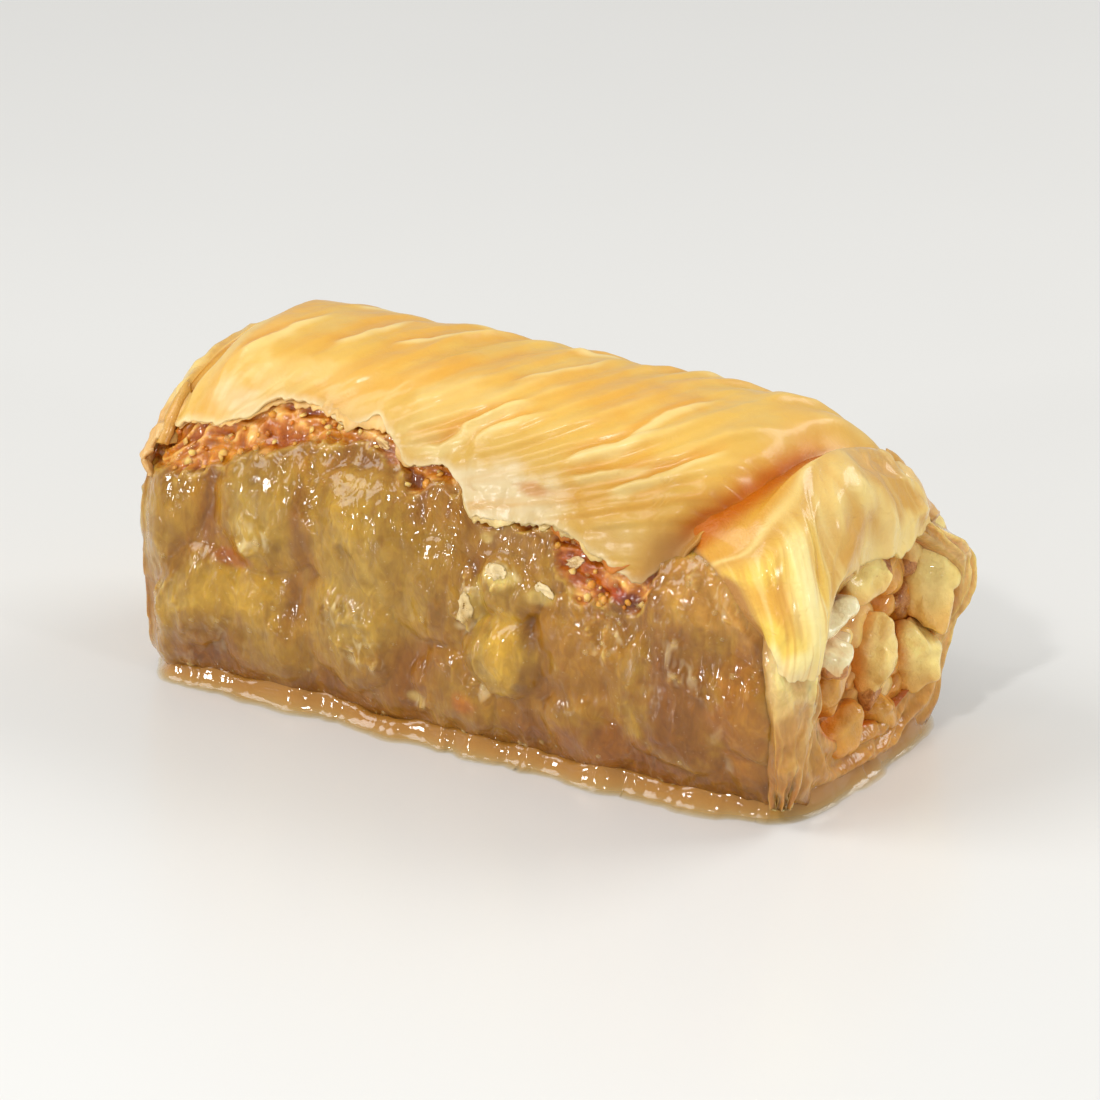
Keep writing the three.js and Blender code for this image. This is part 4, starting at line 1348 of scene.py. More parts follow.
# %% Hood
HOOD_RIDGE = [           # x, arc, rise of the ridge where the hood leaves the cap
    (27.7, 13.0, 0.95), (28.4, 10.2, 1.15), (29.0, 6.4, 1.3),
    (29.3, 4.2, 1.35), (29.6, 1.2, 1.3), (30.2, -3.2, 0.9), (30.4, -7.0, 0.5), (30.5, -10.0, 0.25),
    (30.6, -13.5, 0.1),
]
HOOD_FALL = [            # the rest of each curve: over the edge, down to the free lip
    [(29.6, -13.1, 24.2), (31.1, -14.2, 21.6), (32.2, -14.5, 19.0), (32.4, -14.2, 17.0),
     (32.3, -13.9, 15.6)],
    [(31.0, -10.8, 25.8), (33.0, -12.6, 22.2), (34.2, -13.3, 18.9), (34.2, -13.2, 16.6),
     (33.9, -13.0, 14.6)],
    [(32.0, -8.8, 26.4), (33.6, -10.0, 22.9), (34.6, -10.7, 19.7), (34.7, -11.0, 17.4),
     (34.5, -11.2, 15.4)],
    [(32.2, -7.2, 26.6), (33.8, -7.4, 23.8), (34.4, -7.6, 22.0), (34.2, -7.2, 20.6)],
    [(32.2, -1.8, 28.4), (33.5, -1.0, 25.5), (33.5, -1.4, 20.6)],
    [(32.4, 2.6, 27.8), (33.8, 3.4, 24.4), (34.0, 3.9, 19.7)],
    [(32.4, 6.0, 26.0), (34.2, 6.6, 23.6), (34.6, 6.6, 20.7)],
    [(32.4, 8.6, 24.2), (33.8, 9.0, 22.2), (34.0, 9.0, 20.9)],
    [(32.0, 11.4, 21.9), (33.0, 12.2, 20.4), (33.2, 12.2, 19.6)],
]
FAR_SHOULDER = [          # the last curves of the hood at the far cut, which hug the corner
    [(32.4, 6.4, 26.6), (33.8, 6.9, 24.2), (34.0, 6.8, 21.6)],
    [(32.5, 9.2, 25.1), (33.5, 10.0, 23.5), (33.6, 10.0, 21.6)],
    [(32.2, 11.8, 23.1), (32.9, 12.7, 21.7), (33.0, 12.8, 20.2)],
]
SOAKED_EDGE = [          # x, arc, rise over the wet side: the two curves that melt into it
    [(22.0, 15.8, -0.8), (24.0, 16.4, -0.7), (26.2, 17.4, -0.7), (28.4, 18.9, -0.6), (31.2, 20.6, -0.8)],
    [(22.5, 14.6, -0.7), (24.6, 15.2, 0.15), (26.6, 15.9, 0.25), (28.8, 17.5, 0.25), (31.2, 19.4, 0.1)],
]
FAR_SHIFT = np.array([0.9, 0.0, 1.0])      # brings the far cut, turned round, to the near one


def at_cut(x, arc, lift, side):
    """A point of the roll at either cut, as it is before it is turned round for the far one."""
    point = on_roll(side * x, side * arc, lift)
    return point if side > 0 else point * (-1, -1, 1) + FAR_SHIFT


def body_at(x, arc, side):
    return float(body_lift(np.array(side * x), np.array(side * arc)))


def over_wet(x, arc, rise, side):
    return at_cut(x, arc, rise + max(-0.3, body_at(x, arc, side)), side)


def hood_start(x, arc, rise, side):
    """From the bottom of the crease up to the ridge, always clear of the wet side."""
    bottom = crease_x(arc)
    half_way = (bottom + x) / 2
    middle = max(0.3, body_at(half_way, arc, side) + 0.35)
    ridge = max(rise, body_at(x, arc, side) + 0.45)
    return [at_cut(bottom - 1.2, arc, -0.8, side), at_cut(half_way, arc, middle, side),
            at_cut(x, arc, ridge, side)]


def hood_columns(side):
    falls = HOOD_FALL if side > 0 else HOOD_FALL[:-3] + FAR_SHOULDER
    melting = [[over_wet(*point, side) for point in column] for column in SOAKED_EDGE]
    hanging = [hood_start(*ridge, side) + fall for ridge, fall in zip(HOOD_RIDGE, falls)]
    return [np.array(column) for column in melting + hanging]


HOOD_SHEET = 0.6
HOOD_ROWS = 110
HOOD_COUNT = 220
HEART = np.array([24.0, 0.0, 13.0])


def patch_relief(rows, count, across, seed):
    """Pleats along a hanging sheet, fading in from the edge where it starts."""
    down = np.linspace(0, 1, rows)[:, None]
    around = np.linspace(0, across, count)[None, :]
    sway = 0.6 * layered(around * 0.8, down * 1.6, seed)
    curled = between(0.35, 1, bell(around - 3.2, 1.1))
    pleats = 0.5 * curled * ridged(around * 1.4 + sway, down * 0.9, seed + 1)
    thin = 0.10 * curled * ridged(around * 2.6 + 2 * sway, down * 1.9, seed + 2)
    hair = 0.02 * noise(around * 9 + 3 * sway, down * 3, seed + 3)
    crush = (1 - 0.3 * curled) * 0.85 * layered(around * 1.0, down * 3.4, seed + 5)
    crumple = 0.32 * ridged(around * 1.2 + sway, down * 5.2, seed + 6)
    relief = np.maximum(pleats + thin + hair + crush + crumple, -0.3) * smooth(0.33, 0.5, down)
    return relief, down + 0 * around, around + 0 * down


def hood(seed, far=False):
    grid = patch_through(hood_columns(-1 if far else 1), HOOD_ROWS, HOOD_COUNT)
    relief, down, around = patch_relief(HOOD_ROWS, HOOD_COUNT, 10, seed)
    relief = relief * smooth(0.8, 2.2, around) * (1 - 0.75 * bell(around - 4.6, 0.5))
    lip = 0.7 * layered(around * 1.7, down * 0, seed + 7) + 0.35 * noise(around * 7, down * 0, seed + 8)
    grid = grid + grid_normals(grid, HEART) * relief[..., None]
    loose = (1 - 0.6 * smooth(7.4, 8.4, around)) * smooth(0.6, 1.6, around)
    grid[..., 2] += lip * smooth(0.6, 1.0, down) * loose
    thickness = HOOD_SHEET * (0.8 + 0.3 * layered(around * 1.5, down * 2, seed + 9))
    thickness = thickness * (1 + 0.7 * bell(around - 7.4, 1.1) * smooth(0.7, 1, down))
    thickness = thickness * (1 - 0.55 * smooth(4.8, 4.0, around) * smooth(0.6, 0.9, down))
    return grid, thickness, relief, down, around


PALE_LIP_AND_HIGHLIGHT = srgb(242, 220, 146)
HOOD_TAN = srgb(210, 164, 80)


def hood_tint(relief, down, around):
    blotch = layered(around * 1.5, down * 3.2, 317)
    # Paler on the raised pleats and darker in their hollows: painted light and painted shade, with blotches
    # of the sheet's own tone.
    colour = mix(HOOD_TAN, PALE_LIP_AND_HIGHLIGHT, 0.8 * smooth(0.15, 0.7, relief + 0.6 * blotch))
    colour = mix(colour, srgb(214, 160, 74), 0.6 * smooth(0.1, -0.4, relief + 0.4 * blotch))
    band = smooth(0.42, 0.26, down + 0.04 * blotch) * smooth(9.5, 6, around)
    colour = mix(colour, srgb(218, 162, 54), 0.85 * band)
    # Deep orange where the hood leaves the crease is painted shade, and the thin pale line along its ridge is
    # a painted highlight.
    deep = smooth(0.2, 0.06, down) * smooth(9.5, 6, around)
    colour = coats(
        colour,
        (srgb(186, 98, 4), 0.95 * deep),
        (PALE_LIP_AND_HIGHLIGHT, 0.7 * bell(down - 0.34, 0.03) * smooth(8.5, 6, around)))
    turned = smooth(4.9, 3.9, around) * smooth(0.36, 0.5, down)
    # The turned fold is paler on its pleat tops and darker in their hollows, with a broad pale streak down
    # its middle: painted light, shade and highlight.
    yellow = mix(srgb(244, 210, 96), srgb(255, 240, 172), 0.8 * smooth(0.15, 0.5, relief))
    yellow = coats(
        yellow,
        (srgb(216, 152, 50), 0.7 * smooth(0.05, -0.3, relief)),
        (srgb(255, 246, 190), 0.7 * bell(around - 3.3, 0.5) * bell(down - 0.6, 0.16)),
        (srgb(232, 208, 158), 0.75 * smooth(0.84, 0.97, down + 0.06 * blotch)))
    colour = mix(colour, yellow, turned)
    lip = smooth(0.82, 0.97, down + 0.1 * layered(around * 2, down * 3, 311))
    colour = coats(
        colour,
        (PALE_LIP_AND_HIGHLIGHT, 0.85 * lip * bell(around - 7.0, 2.6)),
        (PALE_LIP_AND_HIGHLIGHT, 0.5 * bell(around - 5.6, 1.2) * bell(down - 0.5, 0.2)))
    shoulder = smooth(8.2, 9.4, around) * smooth(0.3, 0.5, down)
    colour = mix(colour, srgb(222, 180, 124), 0.75 * shoulder)
    strands = layered(around * 7, down * 2.2, 331)
    strong = smooth(0.36, 0.5, down) * (1 - 0.6 * smooth(4.5, 6, around))
    colour = coats(
        colour,
        (PALE_LIP_AND_HIGHLIGHT, 0.5 * smooth(0.15, 0.6, strands) * strong),
        (srgb(212, 154, 66), 0.45 * smooth(-0.1, -0.55, strands) * strong))
    # Golden-tan where the hood melts into the wet side: partly soaked pastry, partly painted shade.
    soaked = np.maximum(smooth(1.4, 0.5, around), smooth(1.9, 1.0, around) * smooth(0.36, 0.6, down))
    return mix(colour, srgb(184, 136, 76), smooth(0.2, 0.8, soaked + 0.3 * blotch))


# %% Trailing layers below the hood
CURL_ROWS = [             # height, then (x, y) from the wet side round the corner to the free edge
    (17.6, (29.6, -12.2), (30.4, -13.0), (31.4, -13.4), (32.4, -13.2), (33.2, -12.4), (33.6, -11.3),
     (33.4, -10.0)),
    (14.6, (29.8, -12.4), (30.8, -13.4), (31.9, -13.8), (33.0, -13.4), (33.8, -12.4), (34.1, -11.2),
     (33.7, -9.8)),
    (11.4, (30.2, -12.5), (31.1, -13.5), (32.1, -13.9), (33.1, -13.4), (33.7, -12.4), (33.9, -11.3),
     (33.5, -10.1)),
    (8.0, (30.6, -12.5), (31.4, -13.4), (32.2, -13.8), (33.0, -13.3), (33.5, -12.5), (33.6, -11.6),
     (33.3, -10.7)),
    (5.0, (30.8, -12.3), (31.5, -13.2), (32.1, -13.5), (32.8, -13.1), (33.2, -12.5), (33.3, -11.9),
     (33.0, -11.2)),
    (2.0, (30.9, -12.0), (31.3, -12.7), (31.8, -13.0), (32.2, -12.8), (32.5, -12.4), (32.6, -12.0),
     (32.4, -11.6)),
]
CURL_SHEET = 0.55
CURL_DOWN, CURL_ROUND = 150, 100


def curl(seed):
    """Wet layers that the knife dragged round the corner: a sheet with soft pleats."""
    rows = [np.array([(x, y, row[0]) for x, y in row[1:]]) for row in CURL_ROWS]
    grid = curve_through(np.array([curve_through(row, CURL_ROUND) for row in rows]), CURL_DOWN)
    down = np.linspace(0, 1, CURL_DOWN)[:, None]
    around = np.linspace(0, 1, CURL_ROUND)[None, :]
    sway = 0.5 * layered(around * 2, down * 4, seed)
    pleats = 0.34 * ridged(around * 3.2 + sway, down * 2.2, seed + 1)
    thin = 0.10 * ridged(around * 9 + 2 * sway, down * 3, seed + 2)
    lumps = 0.3 * layered(around * 2.4, down * 6, seed + 3)
    relief = (pleats + thin + lumps) * smooth(0.0, 0.2, around) * smooth(0, 0.15, down)
    grid = grid + grid_normals(grid, HEART) * relief[..., None]
    free = smooth(0.75, 1.0, around) * smooth(0.05, 0.2, down)
    ragged = 0.5 * layered(down * 14, around * 0, seed + 4) + 0.15 * noise(down * 50, around * 0, seed + 5)
    grid[..., 1] += free * ragged
    return grid, CURL_SHEET * (1 + 0.5 * free), relief, down + 0 * around, around + 0 * down


def curl_tint(relief, down, around):
    colour = mix(srgb(255, 232, 164), srgb(204, 160, 88), smooth(0.1, 0.7, down))
    # Paler on the pleat tops and darker in their hollows: painted light and shade.
    colour = coats(
        colour,
        (srgb(246, 226, 160), 0.6 * smooth(0.3, 0.6, relief)),
        (srgb(190, 130, 52), 0.6 * smooth(0.2, -0.15, relief)),
        (srgb(164, 104, 36), 0.8 * smooth(0.55, 0.95, down)))
    return mix(colour, srgb(166, 114, 48), smooth(0.5, 0.1, around))


def closed_tube(points):
    """Faces of rings of points, closed with a point at each end."""
    count, ring = points.shape[:2]
    flat = points.reshape(-1, 3)
    first, last = points[0].mean(0), points[-1].mean(0)
    faces = grid_faces(count, ring, close_columns=True).tolist()
    start, stop = len(flat), len(flat) + 1
    for i in range(ring):
        j = (i + 1) % ring
        faces.append([start, j, i])
        faces.append([stop, (count - 1) * ring + i, (count - 1) * ring + j])
    return np.concatenate([flat, [first, last]]), faces


def for_end(points, far):
    """Leaves near-end points alone and turns the others round to the far cut."""
    return (np.asarray(points) - FAR_SHIFT) * (-1, -1, 1) if far else points


def hung_part(made, tint, far, scale):
    grid, thickness, relief, down, around = made
    points, faces = sheet_mesh(grid, thickness, HEART)
    flow = twice(np.stack([around * scale, down, down * 0], -1) * MM)
    return for_end(points, far), faces, twice(tint(relief, down, around)), {"flow": flow}


ENDS = ((False, 301), (True, 401))
hoods = [hung_part(hood(seed, far), hood_tint, far, 4) for far, seed in ENDS]
curls = [hung_part(curl(seed + 30), curl_tint, far, 1) for far, seed in ENDS]
end_hoods = closed(mixed_mesh("end_hoods", hoods, DRAPED))
trailing_layers = closed(mixed_mesh("trailing_layers", curls, WET))

# %% [markdown]
# ## Walnuts
#
# Chopped walnut breaks along flat faces and keeps its furrows and some brown
# skin. Each piece starts as a fine ball; a few random planes cut it to a
# chunk with worn edges, and noise adds furrows. The pieces that show at the
# cut are placed one by one, and smaller ones fill in behind them in front of
# a dark, syrupy core.

# %% Chunk shape
CHUNK_PLANES = 7
CHUNK_SHARP = 24.0       # how sharply the broken faces of a nut meet


def ball(subdivisions):
    shape = bmesh.new()
    bmesh.ops.create_icosphere(shape, subdivisions=subdivisions, radius=1.0)
    points = np.array([v.co[:] for v in shape.verts])
    faces = [[v.index for v in f.verts] for f in shape.faces]
    shape.free()
    return points / np.linalg.norm(points, axis=1, keepdims=True), faces


def noise_3d(points, size, seed):
    x, y, z = (points / size).T
    return (noise(x, y + 0.37 * z, seed) + noise(y, z + 0.37 * x, seed + 1)
            + noise(z, x + 0.37 * y, seed + 2)) / 3


def chunk(directions, size, seed):
    """A broken nut piece: points in millimetres and its share of brown skin."""
    chance = np.random.default_rng(seed)
    normals = chance.normal(size=(CHUNK_PLANES, 3))
    normals /= np.linalg.norm(normals, axis=1, keepdims=True)
    depths = chance.uniform(0.66, 0.95, CHUNK_PLANES)
    towards = directions @ normals.T
    reach = np.where(towards > 0.05, depths / np.maximum(towards, 0.05), 9)
    box = np.linalg.norm(directions, ord=4, axis=1) ** -1
    reach = np.concatenate([reach, 1.05 * box[:, None]], 1)
    radius = (reach ** -CHUNK_SHARP).sum(1) ** (-1 / CHUNK_SHARP)
    points = directions * radius[:, None]
    points = points / (points.max(0) - points.min(0)) * np.asarray(size)
    mean = float(np.mean(size))
    furrow = np.abs(noise_3d(points, 0.42 * mean, seed + 5))
    groove = -0.05 * mean * np.exp(-(furrow / 0.12) ** 2)
    rough = 0.10 * mean * noise_3d(points, 0.3 * mean, seed + 9)
    grain = 0.22 * noise_3d(points, 0.8, seed + 13)
    points = points + directions * (groove + rough + grain)[:, None]
    outer = normals[:2].sum(0)
    outer /= np.linalg.norm(outer)
    skin = smooth(0.55, 1.1, directions @ outer + 0.8 * noise_3d(points, 0.3 * mean, seed + 17))
    return points, np.maximum(skin, 0.35 * np.exp(-(furrow / 0.06) ** 2))


def placed(points, at, tilt, turn):
    c, s = math.cos(tilt), math.sin(tilt)
    lean = np.array([[1, 0, 0], [0, c, -s], [0, s, c]])
    c, s = math.cos(turn), math.sin(turn)
    swing = np.array([[c, -s, 0], [s, c, 0], [0, 0, 1]])
    return points @ (lean @ swing).T + np.asarray(at)


# %% Pieces that show
NUT_CREAM = srgb(255, 244, 200)
NUT_YELLOW = srgb(255, 230, 146)
NUT_WARM = srgb(255, 224, 140)
NUT_AMBER = srgb(220, 162, 66)
SHOWN_NUTS = [            # place, size, tilt, turn, colour, seed
    ((31.7, -5.2, 16.9), (5.6, 7.6, 3.4), 0.15, 0.1, NUT_CREAM, 11),
    ((31.4, 1.6, 18.7), (5.6, 6.6, 4.4), 0.20, -0.2, NUT_YELLOW, 12),
    ((32.6, 12.9, 14.4), (5.2, 4.6, 10.8), -0.10, 0.2, NUT_YELLOW, 13),
    ((31.3, 3.0, 9.8), (5.2, 3.8, 8.8), 0.12, -0.1, NUT_WARM, 24),
    ((31.9, 11.2, 7.8), (5.4, 5.2, 7.4), 0.25, 0.3, NUT_YELLOW, 15),
    ((30.9, -4.0, 9.4), (4.8, 4.2, 5.8), -0.4, 0.0, NUT_AMBER, 16),
    ((32.0, -4.9, 13.3), (4.8, 5.6, 3.4), 0.2, 0.4, NUT_CREAM, 17),
    ((30.9, -1.6, 5.4), (4.8, 6.0, 3.8), 0.2, 0.0, NUT_AMBER, 18),
    ((28.9, 6.6, 12.6), (4.6, 3.0, 6.0), 0.2, 0.3, NUT_AMBER, 19),
    ((30.4, -1.2, 22.4), (5.0, 6.0, 4.0), 0.0, 0.2, NUT_AMBER, 20),
    ((30.6, 5.2, 4.6), (4.8, 5.0, 3.4), 0.3, 0.5, NUT_AMBER, 22),
    ((30.7, -7.4, 9.0), (4.2, 3.4, 4.4), 0.3, 0.2, NUT_WARM, 25),
]
FAR_ROWS = (6.4, 11.2, 16.0, 20.4)


def far_nuts():
    chance = np.random.default_rng(5011)
    nuts = []
    for row, z in enumerate(FAR_ROWS):
        half = 7.8 if row < 3 else 5.0
        for y in np.linspace(-half, half, 4 if row < 3 else 3):
            size = chance.uniform((5.6, 5.4, 5.0), (7.2, 7.4, 6.8))
            at = (-HALF + chance.uniform(1.7, 3.2), y + chance.uniform(-0.5, 0.5), z)
            tint = (NUT_WARM, NUT_YELLOW, NUT_AMBER)[chance.integers(0, 3)]
            nuts.append((at, size, chance.uniform(-0.5, 0.5), chance.uniform(-0.6, 0.6), tint,
                         int(chance.integers(100, 999))))
    return nuts


FILLING_ROWS = (          # height, first and last place across, how many
    (5.2, -2.6, 8.2, 4), (9.0, -5.6, 11.0, 5), (12.8, -6.2, 11.4, 5), (16.6, -5.6, 10.6, 5),
    (20.2, -3.0, 8.0, 4))
FILLING_X = HALF - 3.4


def filling_nuts():
    """The pieces that close the view behind the ones at the near cut."""
    chance = np.random.default_rng(6021)
    nuts = []
    for z, first, last, count in FILLING_ROWS:
        for y in np.linspace(first, last, count):
            at = (FILLING_X + chance.uniform(-0.5, 0.7), y + chance.uniform(-0.5, 0.5),
                  z + chance.uniform(-0.4, 0.4))
            size = chance.uniform((5.0, 4.2, 4.0), (6.2, 5.6, 5.2))
            tint = (NUT_WARM, NUT_AMBER)[chance.integers(0, 2)]
            nuts.append((at, size, chance.uniform(-0.7, 0.7), chance.uniform(-0.7, 0.7), tint,
                         int(chance.integers(100, 999))))
    return nuts


nut_parts = []
fine_ball, plain_ball = ball(5), ball(4)
for nuts, (directions, faces), soaked in (
        (SHOWN_NUTS, fine_ball, 0.9), (filling_nuts(), plain_ball, 0.55), (far_nuts(), plain_ball, 0.9)):
    for at, size, tilt, turn, tint, seed in nuts:
        points, skin = chunk(directions, size, seed)
        cloud = 0.94 + 0.16 * noise_3d(points, 1.8, seed + 21)
        points = placed(points, at, tilt, turn)
        # Deeper inside the cut the pieces turn deep orange, partly soaked in syrup and partly painted shade;
        # the lower part of each piece is painted amber as painted shade.
        deep_soak_and_shade = smooth(0.6, -1.6, np.abs(points[:, 0]) - HALF + 1.0 * noise_3d(points, 2.0, seed + 25))
        under = smooth(0.1, -0.5, (points[:, 2] - at[2]) / size[2] + 0.25 * noise_3d(points, 2.0, seed + 29))
        shade = mix(tint * cloud[:, None], srgb(228, 158, 50), 0.6 * under)
        shade = mix(shade, srgb(214, 124, 20), soaked * deep_soak_and_shade)
        nut_parts.append((points, faces, shade, {"skin": skin}))
walnut_pieces = closed(mixed_mesh("walnut_pieces", nut_parts, WALNUT))

# %% Core behind the nuts
CORE_INSET = 2.7
CORE_MARGIN = 0.6


def core_points():
    turn = np.linspace(0, 1, 120, endpoint=False)
    stations = (HALF - CORE_INSET, HALF - 5, HALF - 10, 0, 10 - HALF, 5 - HALF, CORE_INSET - HALF)
    rings = [channel(x, turn, CORE_MARGIN) for x in stations]
    faces_out = []
    for ring, x in ((rings[0], stations[0]), (rings[-1], stations[-1])):
        middle = ring.mean(0)
        discs = []
        for share in np.linspace(0.04, 0.96, 26):
            disc = middle + (ring - middle) * share
            _, y, z = disc.T
            bumps = 0.9 * layered(y / 2.6, z / 2.6, 503) + 0.3 * noise(y, z, 507)
            disc[:, 0] += np.sign(x) * (bumps + 0.3)
            discs.append(disc)
        faces_out.append(discs)
    return np.array(faces_out[0] + rings + faces_out[1][::-1])


core, core_faces = closed_tube(core_points())
core_shade = 0.75 + 0.5 * noise_3d(core, 1.6, 511)
nut_core = closed(build_mesh(
    "nut_core", core, core_faces, WET, tint=srgb(206, 126, 16) * core_shade[:, None]))

# %% [markdown]
# ### Small broken bits
#
# Between the big pieces lie crumbs of nut a millimetre or two across. A
# Geometry Nodes tree scatters them: it spreads points over a face, puts a
# small chunk on each, turned and scaled at random, and makes them real mesh
# at the end. The same tree serves every scatter in this scene.

# %% Scatter tree
SCATTER_INPUTS = {
    "Density": "Float", "Smallest": "Float", "Largest": "Float", "Flatness": "Float",
    "Tilt": "Float", "Seed": "Int", "Piece": "Object", "Finish": "Material",
}


def scatter_tree(name):
    """The tree that scatters a piece, and the keys of its inputs."""
    tree = bpy.data.node_groups.new(name, "GeometryNodeTree")
    socket = tree.interface.new_socket
    socket("Geometry", in_out="INPUT", socket_type="NodeSocketGeometry")
    ids = {label: socket(label, in_out="INPUT", socket_type="NodeSocket" + kind).identifier
           for label, kind in SCATTER_INPUTS.items()}
    socket("Geometry", in_out="OUTPUT", socket_type="NodeSocketGeometry")
    given = add_node(tree, "NodeGroupInput").outputs

    def maths(how, first, second):
        return add_node(tree, "ShaderNodeMath", {0: first, 1: second}, operation=how).outputs[0]

    def chance(low, high, seed):
        inputs = {"Min": low, "Max": high, "Seed": seed}
        return add_node(tree, "FunctionNodeRandomValue", inputs, data_type="FLOAT").outputs["Value"]

    weight = add_node(tree, "GeometryNodeInputNamedAttribute", {"Name": "weight"}, data_type="FLOAT")
    dense = maths("MULTIPLY", given["Density"], weight.outputs["Attribute"])
    points = add_node(tree, "GeometryNodeDistributePointsOnFaces", {
        "Mesh": given["Geometry"], "Density": dense, "Seed": given["Seed"]}).outputs
    back = maths("MULTIPLY", given["Tilt"], -1.0)
    lean = [chance(back, given["Tilt"], maths("ADD", given["Seed"], 100.0 * step)) for step in (1, 2)]
    spin = chance(0.0, 2 * math.pi, given["Seed"])
    turn = add_node(tree, "ShaderNodeCombineXYZ", {"X": lean[0], "Y": lean[1], "Z": spin})
    euler = add_node(tree, "FunctionNodeEulerToRotation", {0: turn.outputs[0]})
    rotate = add_node(tree, "FunctionNodeRotateRotation", {
        "Rotation": points["Rotation"], "Rotate By": euler.outputs[0]}, rotation_space="LOCAL")
    size = chance(given["Smallest"], given["Largest"], 0)
    thin = maths("MULTIPLY", size, given["Flatness"])
    scale = add_node(tree, "ShaderNodeCombineXYZ", {"X": size, "Y": size, "Z": thin})
    shape = add_node(tree, "GeometryNodeObjectInfo", {"Object": given["Piece"]})
    put = add_node(tree, "GeometryNodeInstanceOnPoints", {
        "Points": points["Points"], "Instance": shape.outputs["Geometry"],
        "Rotation": rotate.outputs["Rotation"], "Scale": scale.outputs[0]})
    real = add_node(tree, "GeometryNodeRealizeInstances", {0: put.outputs[0]})
    finish = add_node(tree, "GeometryNodeSetMaterial", {
        "Geometry": real.outputs[0], "Material": given["Finish"]})
    add_node(tree, "NodeGroupOutput", {0: finish.outputs[0]})
    return tree, ids


SCATTER, SCATTER_IDS = scatter_tree("scatter_bits")


def scattered(name, base, shape, finish, per_mm2, smallest, largest, flatness, seed, tilt=0.0):
    """Scatters a unit shape over a base mesh; sizes are in millimetres."""
    modifier = base.modifiers.new("scatter", "NODES")
    modifier.node_group = SCATTER
    values = {"Density": per_mm2 * 1e6, "Smallest": smallest, "Largest": largest,
              "Flatness": flatness, "Tilt": tilt, "Seed": seed, "Piece": shape, "Finish": finish}
    for label, value in values.items():
        modifier[SCATTER_IDS[label]] = value
    graph = bpy.context.evaluated_depsgraph_get()
    mesh = bpy.data.meshes.new_from_object(base.evaluated_get(graph))
    base.modifiers.remove(modifier)
    mesh.name = name
    mesh.shade_smooth()
    piece = link_object(name, mesh)
    print(name, "triangles:", sum(len(p.vertices) - 2 for p in mesh.polygons))
    return piece


def unit_shape(name, points, faces, material, tint, fields=None):
    """A one-millimetre shape at the origin, to be scattered and then removed."""
    return build_mesh(name, points - ROLL_TO_ORIGIN, faces, material, fields=fields,
                      tint=np.tile(tint, (len(points), 1)))


def unit_chunk(name, seed, material, tint):
    directions, faces = ball(1)
    points, skin = chunk(directions, (1, 1, 1), seed)
    return unit_shape(name, points, faces, material, tint, {"skin": skin})


def outward_patch(name, grid, weight):
    """A base for scattering whose faces point out of the roll."""
    normal = np.cross(np.gradient(grid, axis=1), np.gradient(grid, axis=0))
    if (normal * (grid - on_axis(grid))).sum() < 0:
        grid, weight = grid[::-1], weight[::-1]
    return base_patch(name, grid, weight)


def drop(*pieces):
    for piece in pieces:
        mesh = piece.data
        bpy.data.objects.remove(piece)
        bpy.data.meshes.remove(mesh)


# %% Nut bits in the cut ends
def base_patch(name, grid, weight):
    """A bare surface for scattering, with a weight from 0 to 1 on its points."""
    return build_mesh(name, grid.reshape(-1, 3), grid_faces(*grid.shape[:2]), WET, {"weight": weight})


BITS_INSET = 2.3         # how far behind the cut the bits lie
ends = []
for x in (HALF - BITS_INSET, -HALF + BITS_INSET):
    turn = np.linspace(0, 1, 60)
    ring = channel(x, turn, 0.9)
    middle = ring.mean(0)
    ends.append(np.array([middle + (ring - middle) * s for s in np.linspace(0.02, 0.98, 16)]))
ends[0] = ends[0][::-1]
crumb_shape = unit_chunk("crumb_shape", 61, WALNUT, srgb(228, 152, 54))
bases = [base_patch("cut_face", grid, np.ones(grid.shape[:2])) for grid in ends]
bits = [scattered("bits", base, crumb_shape, WALNUT, 0.1, 1.2, 2.4, 0.8, 71 + i)
        for i, base in enumerate(bases)]


def joined(name, pieces):
    """Joins plain mesh objects that sit at the origin."""
    shape = bmesh.new()
    for piece in pieces:
        shape.from_mesh(piece.data)
    mesh = bpy.data.meshes.new(name)
    shape.to_mesh(mesh)
    shape.free()
    mesh.materials.append(pieces[0].data.materials[0])
    mesh.shade_smooth()
    drop(*pieces)
    return link_object(name, mesh)


walnut_bits = joined("walnut_bits", bits)
drop(crumb_shape, *bases)

# %% [markdown]
# ### Crumbs under the torn edge
#
# Where the cap tore away, the dry sheets broke into crumbs that stick in the
# syrup. The scatter tree spreads three colours of crumb over the toasted
# band, thickest in its middle, each leaning its own way.

# %% Toasted crumbs
def band_patch(name, side):
    share, x = np.meshgrid(np.linspace(0, 1, 12), np.linspace(-31.5, 31.0, 320), indexing="ij")
    upper = torn_edge(x, side)
    lower = band_low(x, side * (upper + 1))
    arc = side * (upper + 0.3 + (np.maximum(lower - upper, 0.3) + 0.2) * share)
    weight = band_share(x, arc) * smooth(0.6, 2.5, HALF - np.abs(x))
    return outward_patch(name, on_roll(x, arc, body_lift(x, arc) + 0.15), weight)


CRUMBS = [               # colour, crumbs per square millimetre, smallest, largest
    (srgb(248, 190, 112), 0.12, 0.3, 0.9), (srgb(232, 152, 62), 0.14, 0.3, 1.0),
    (srgb(204, 114, 30), 0.1, 0.3, 0.8),
]
CRUMB_LEAN = 0.6
CRUMB_FLATNESS = 0.55
band_bases = [band_patch(f"band_{side}", side) for side in (1, -1)]
crumbs = []
for i, (tint, dense, smallest, largest) in enumerate(CRUMBS):
    nub = unit_chunk(f"nub_{i}", 81 + i, WET, tint)
    crumbs += [
        scattered("crumbs", base, nub, WET, dense, smallest, largest, CRUMB_FLATNESS,
                  90 + 7 * i + j, CRUMB_LEAN)
        for j, base in enumerate(band_bases)]
    drop(nub)
toasted_crumbs = joined("toasted_crumbs", crumbs)
drop(*band_bases)

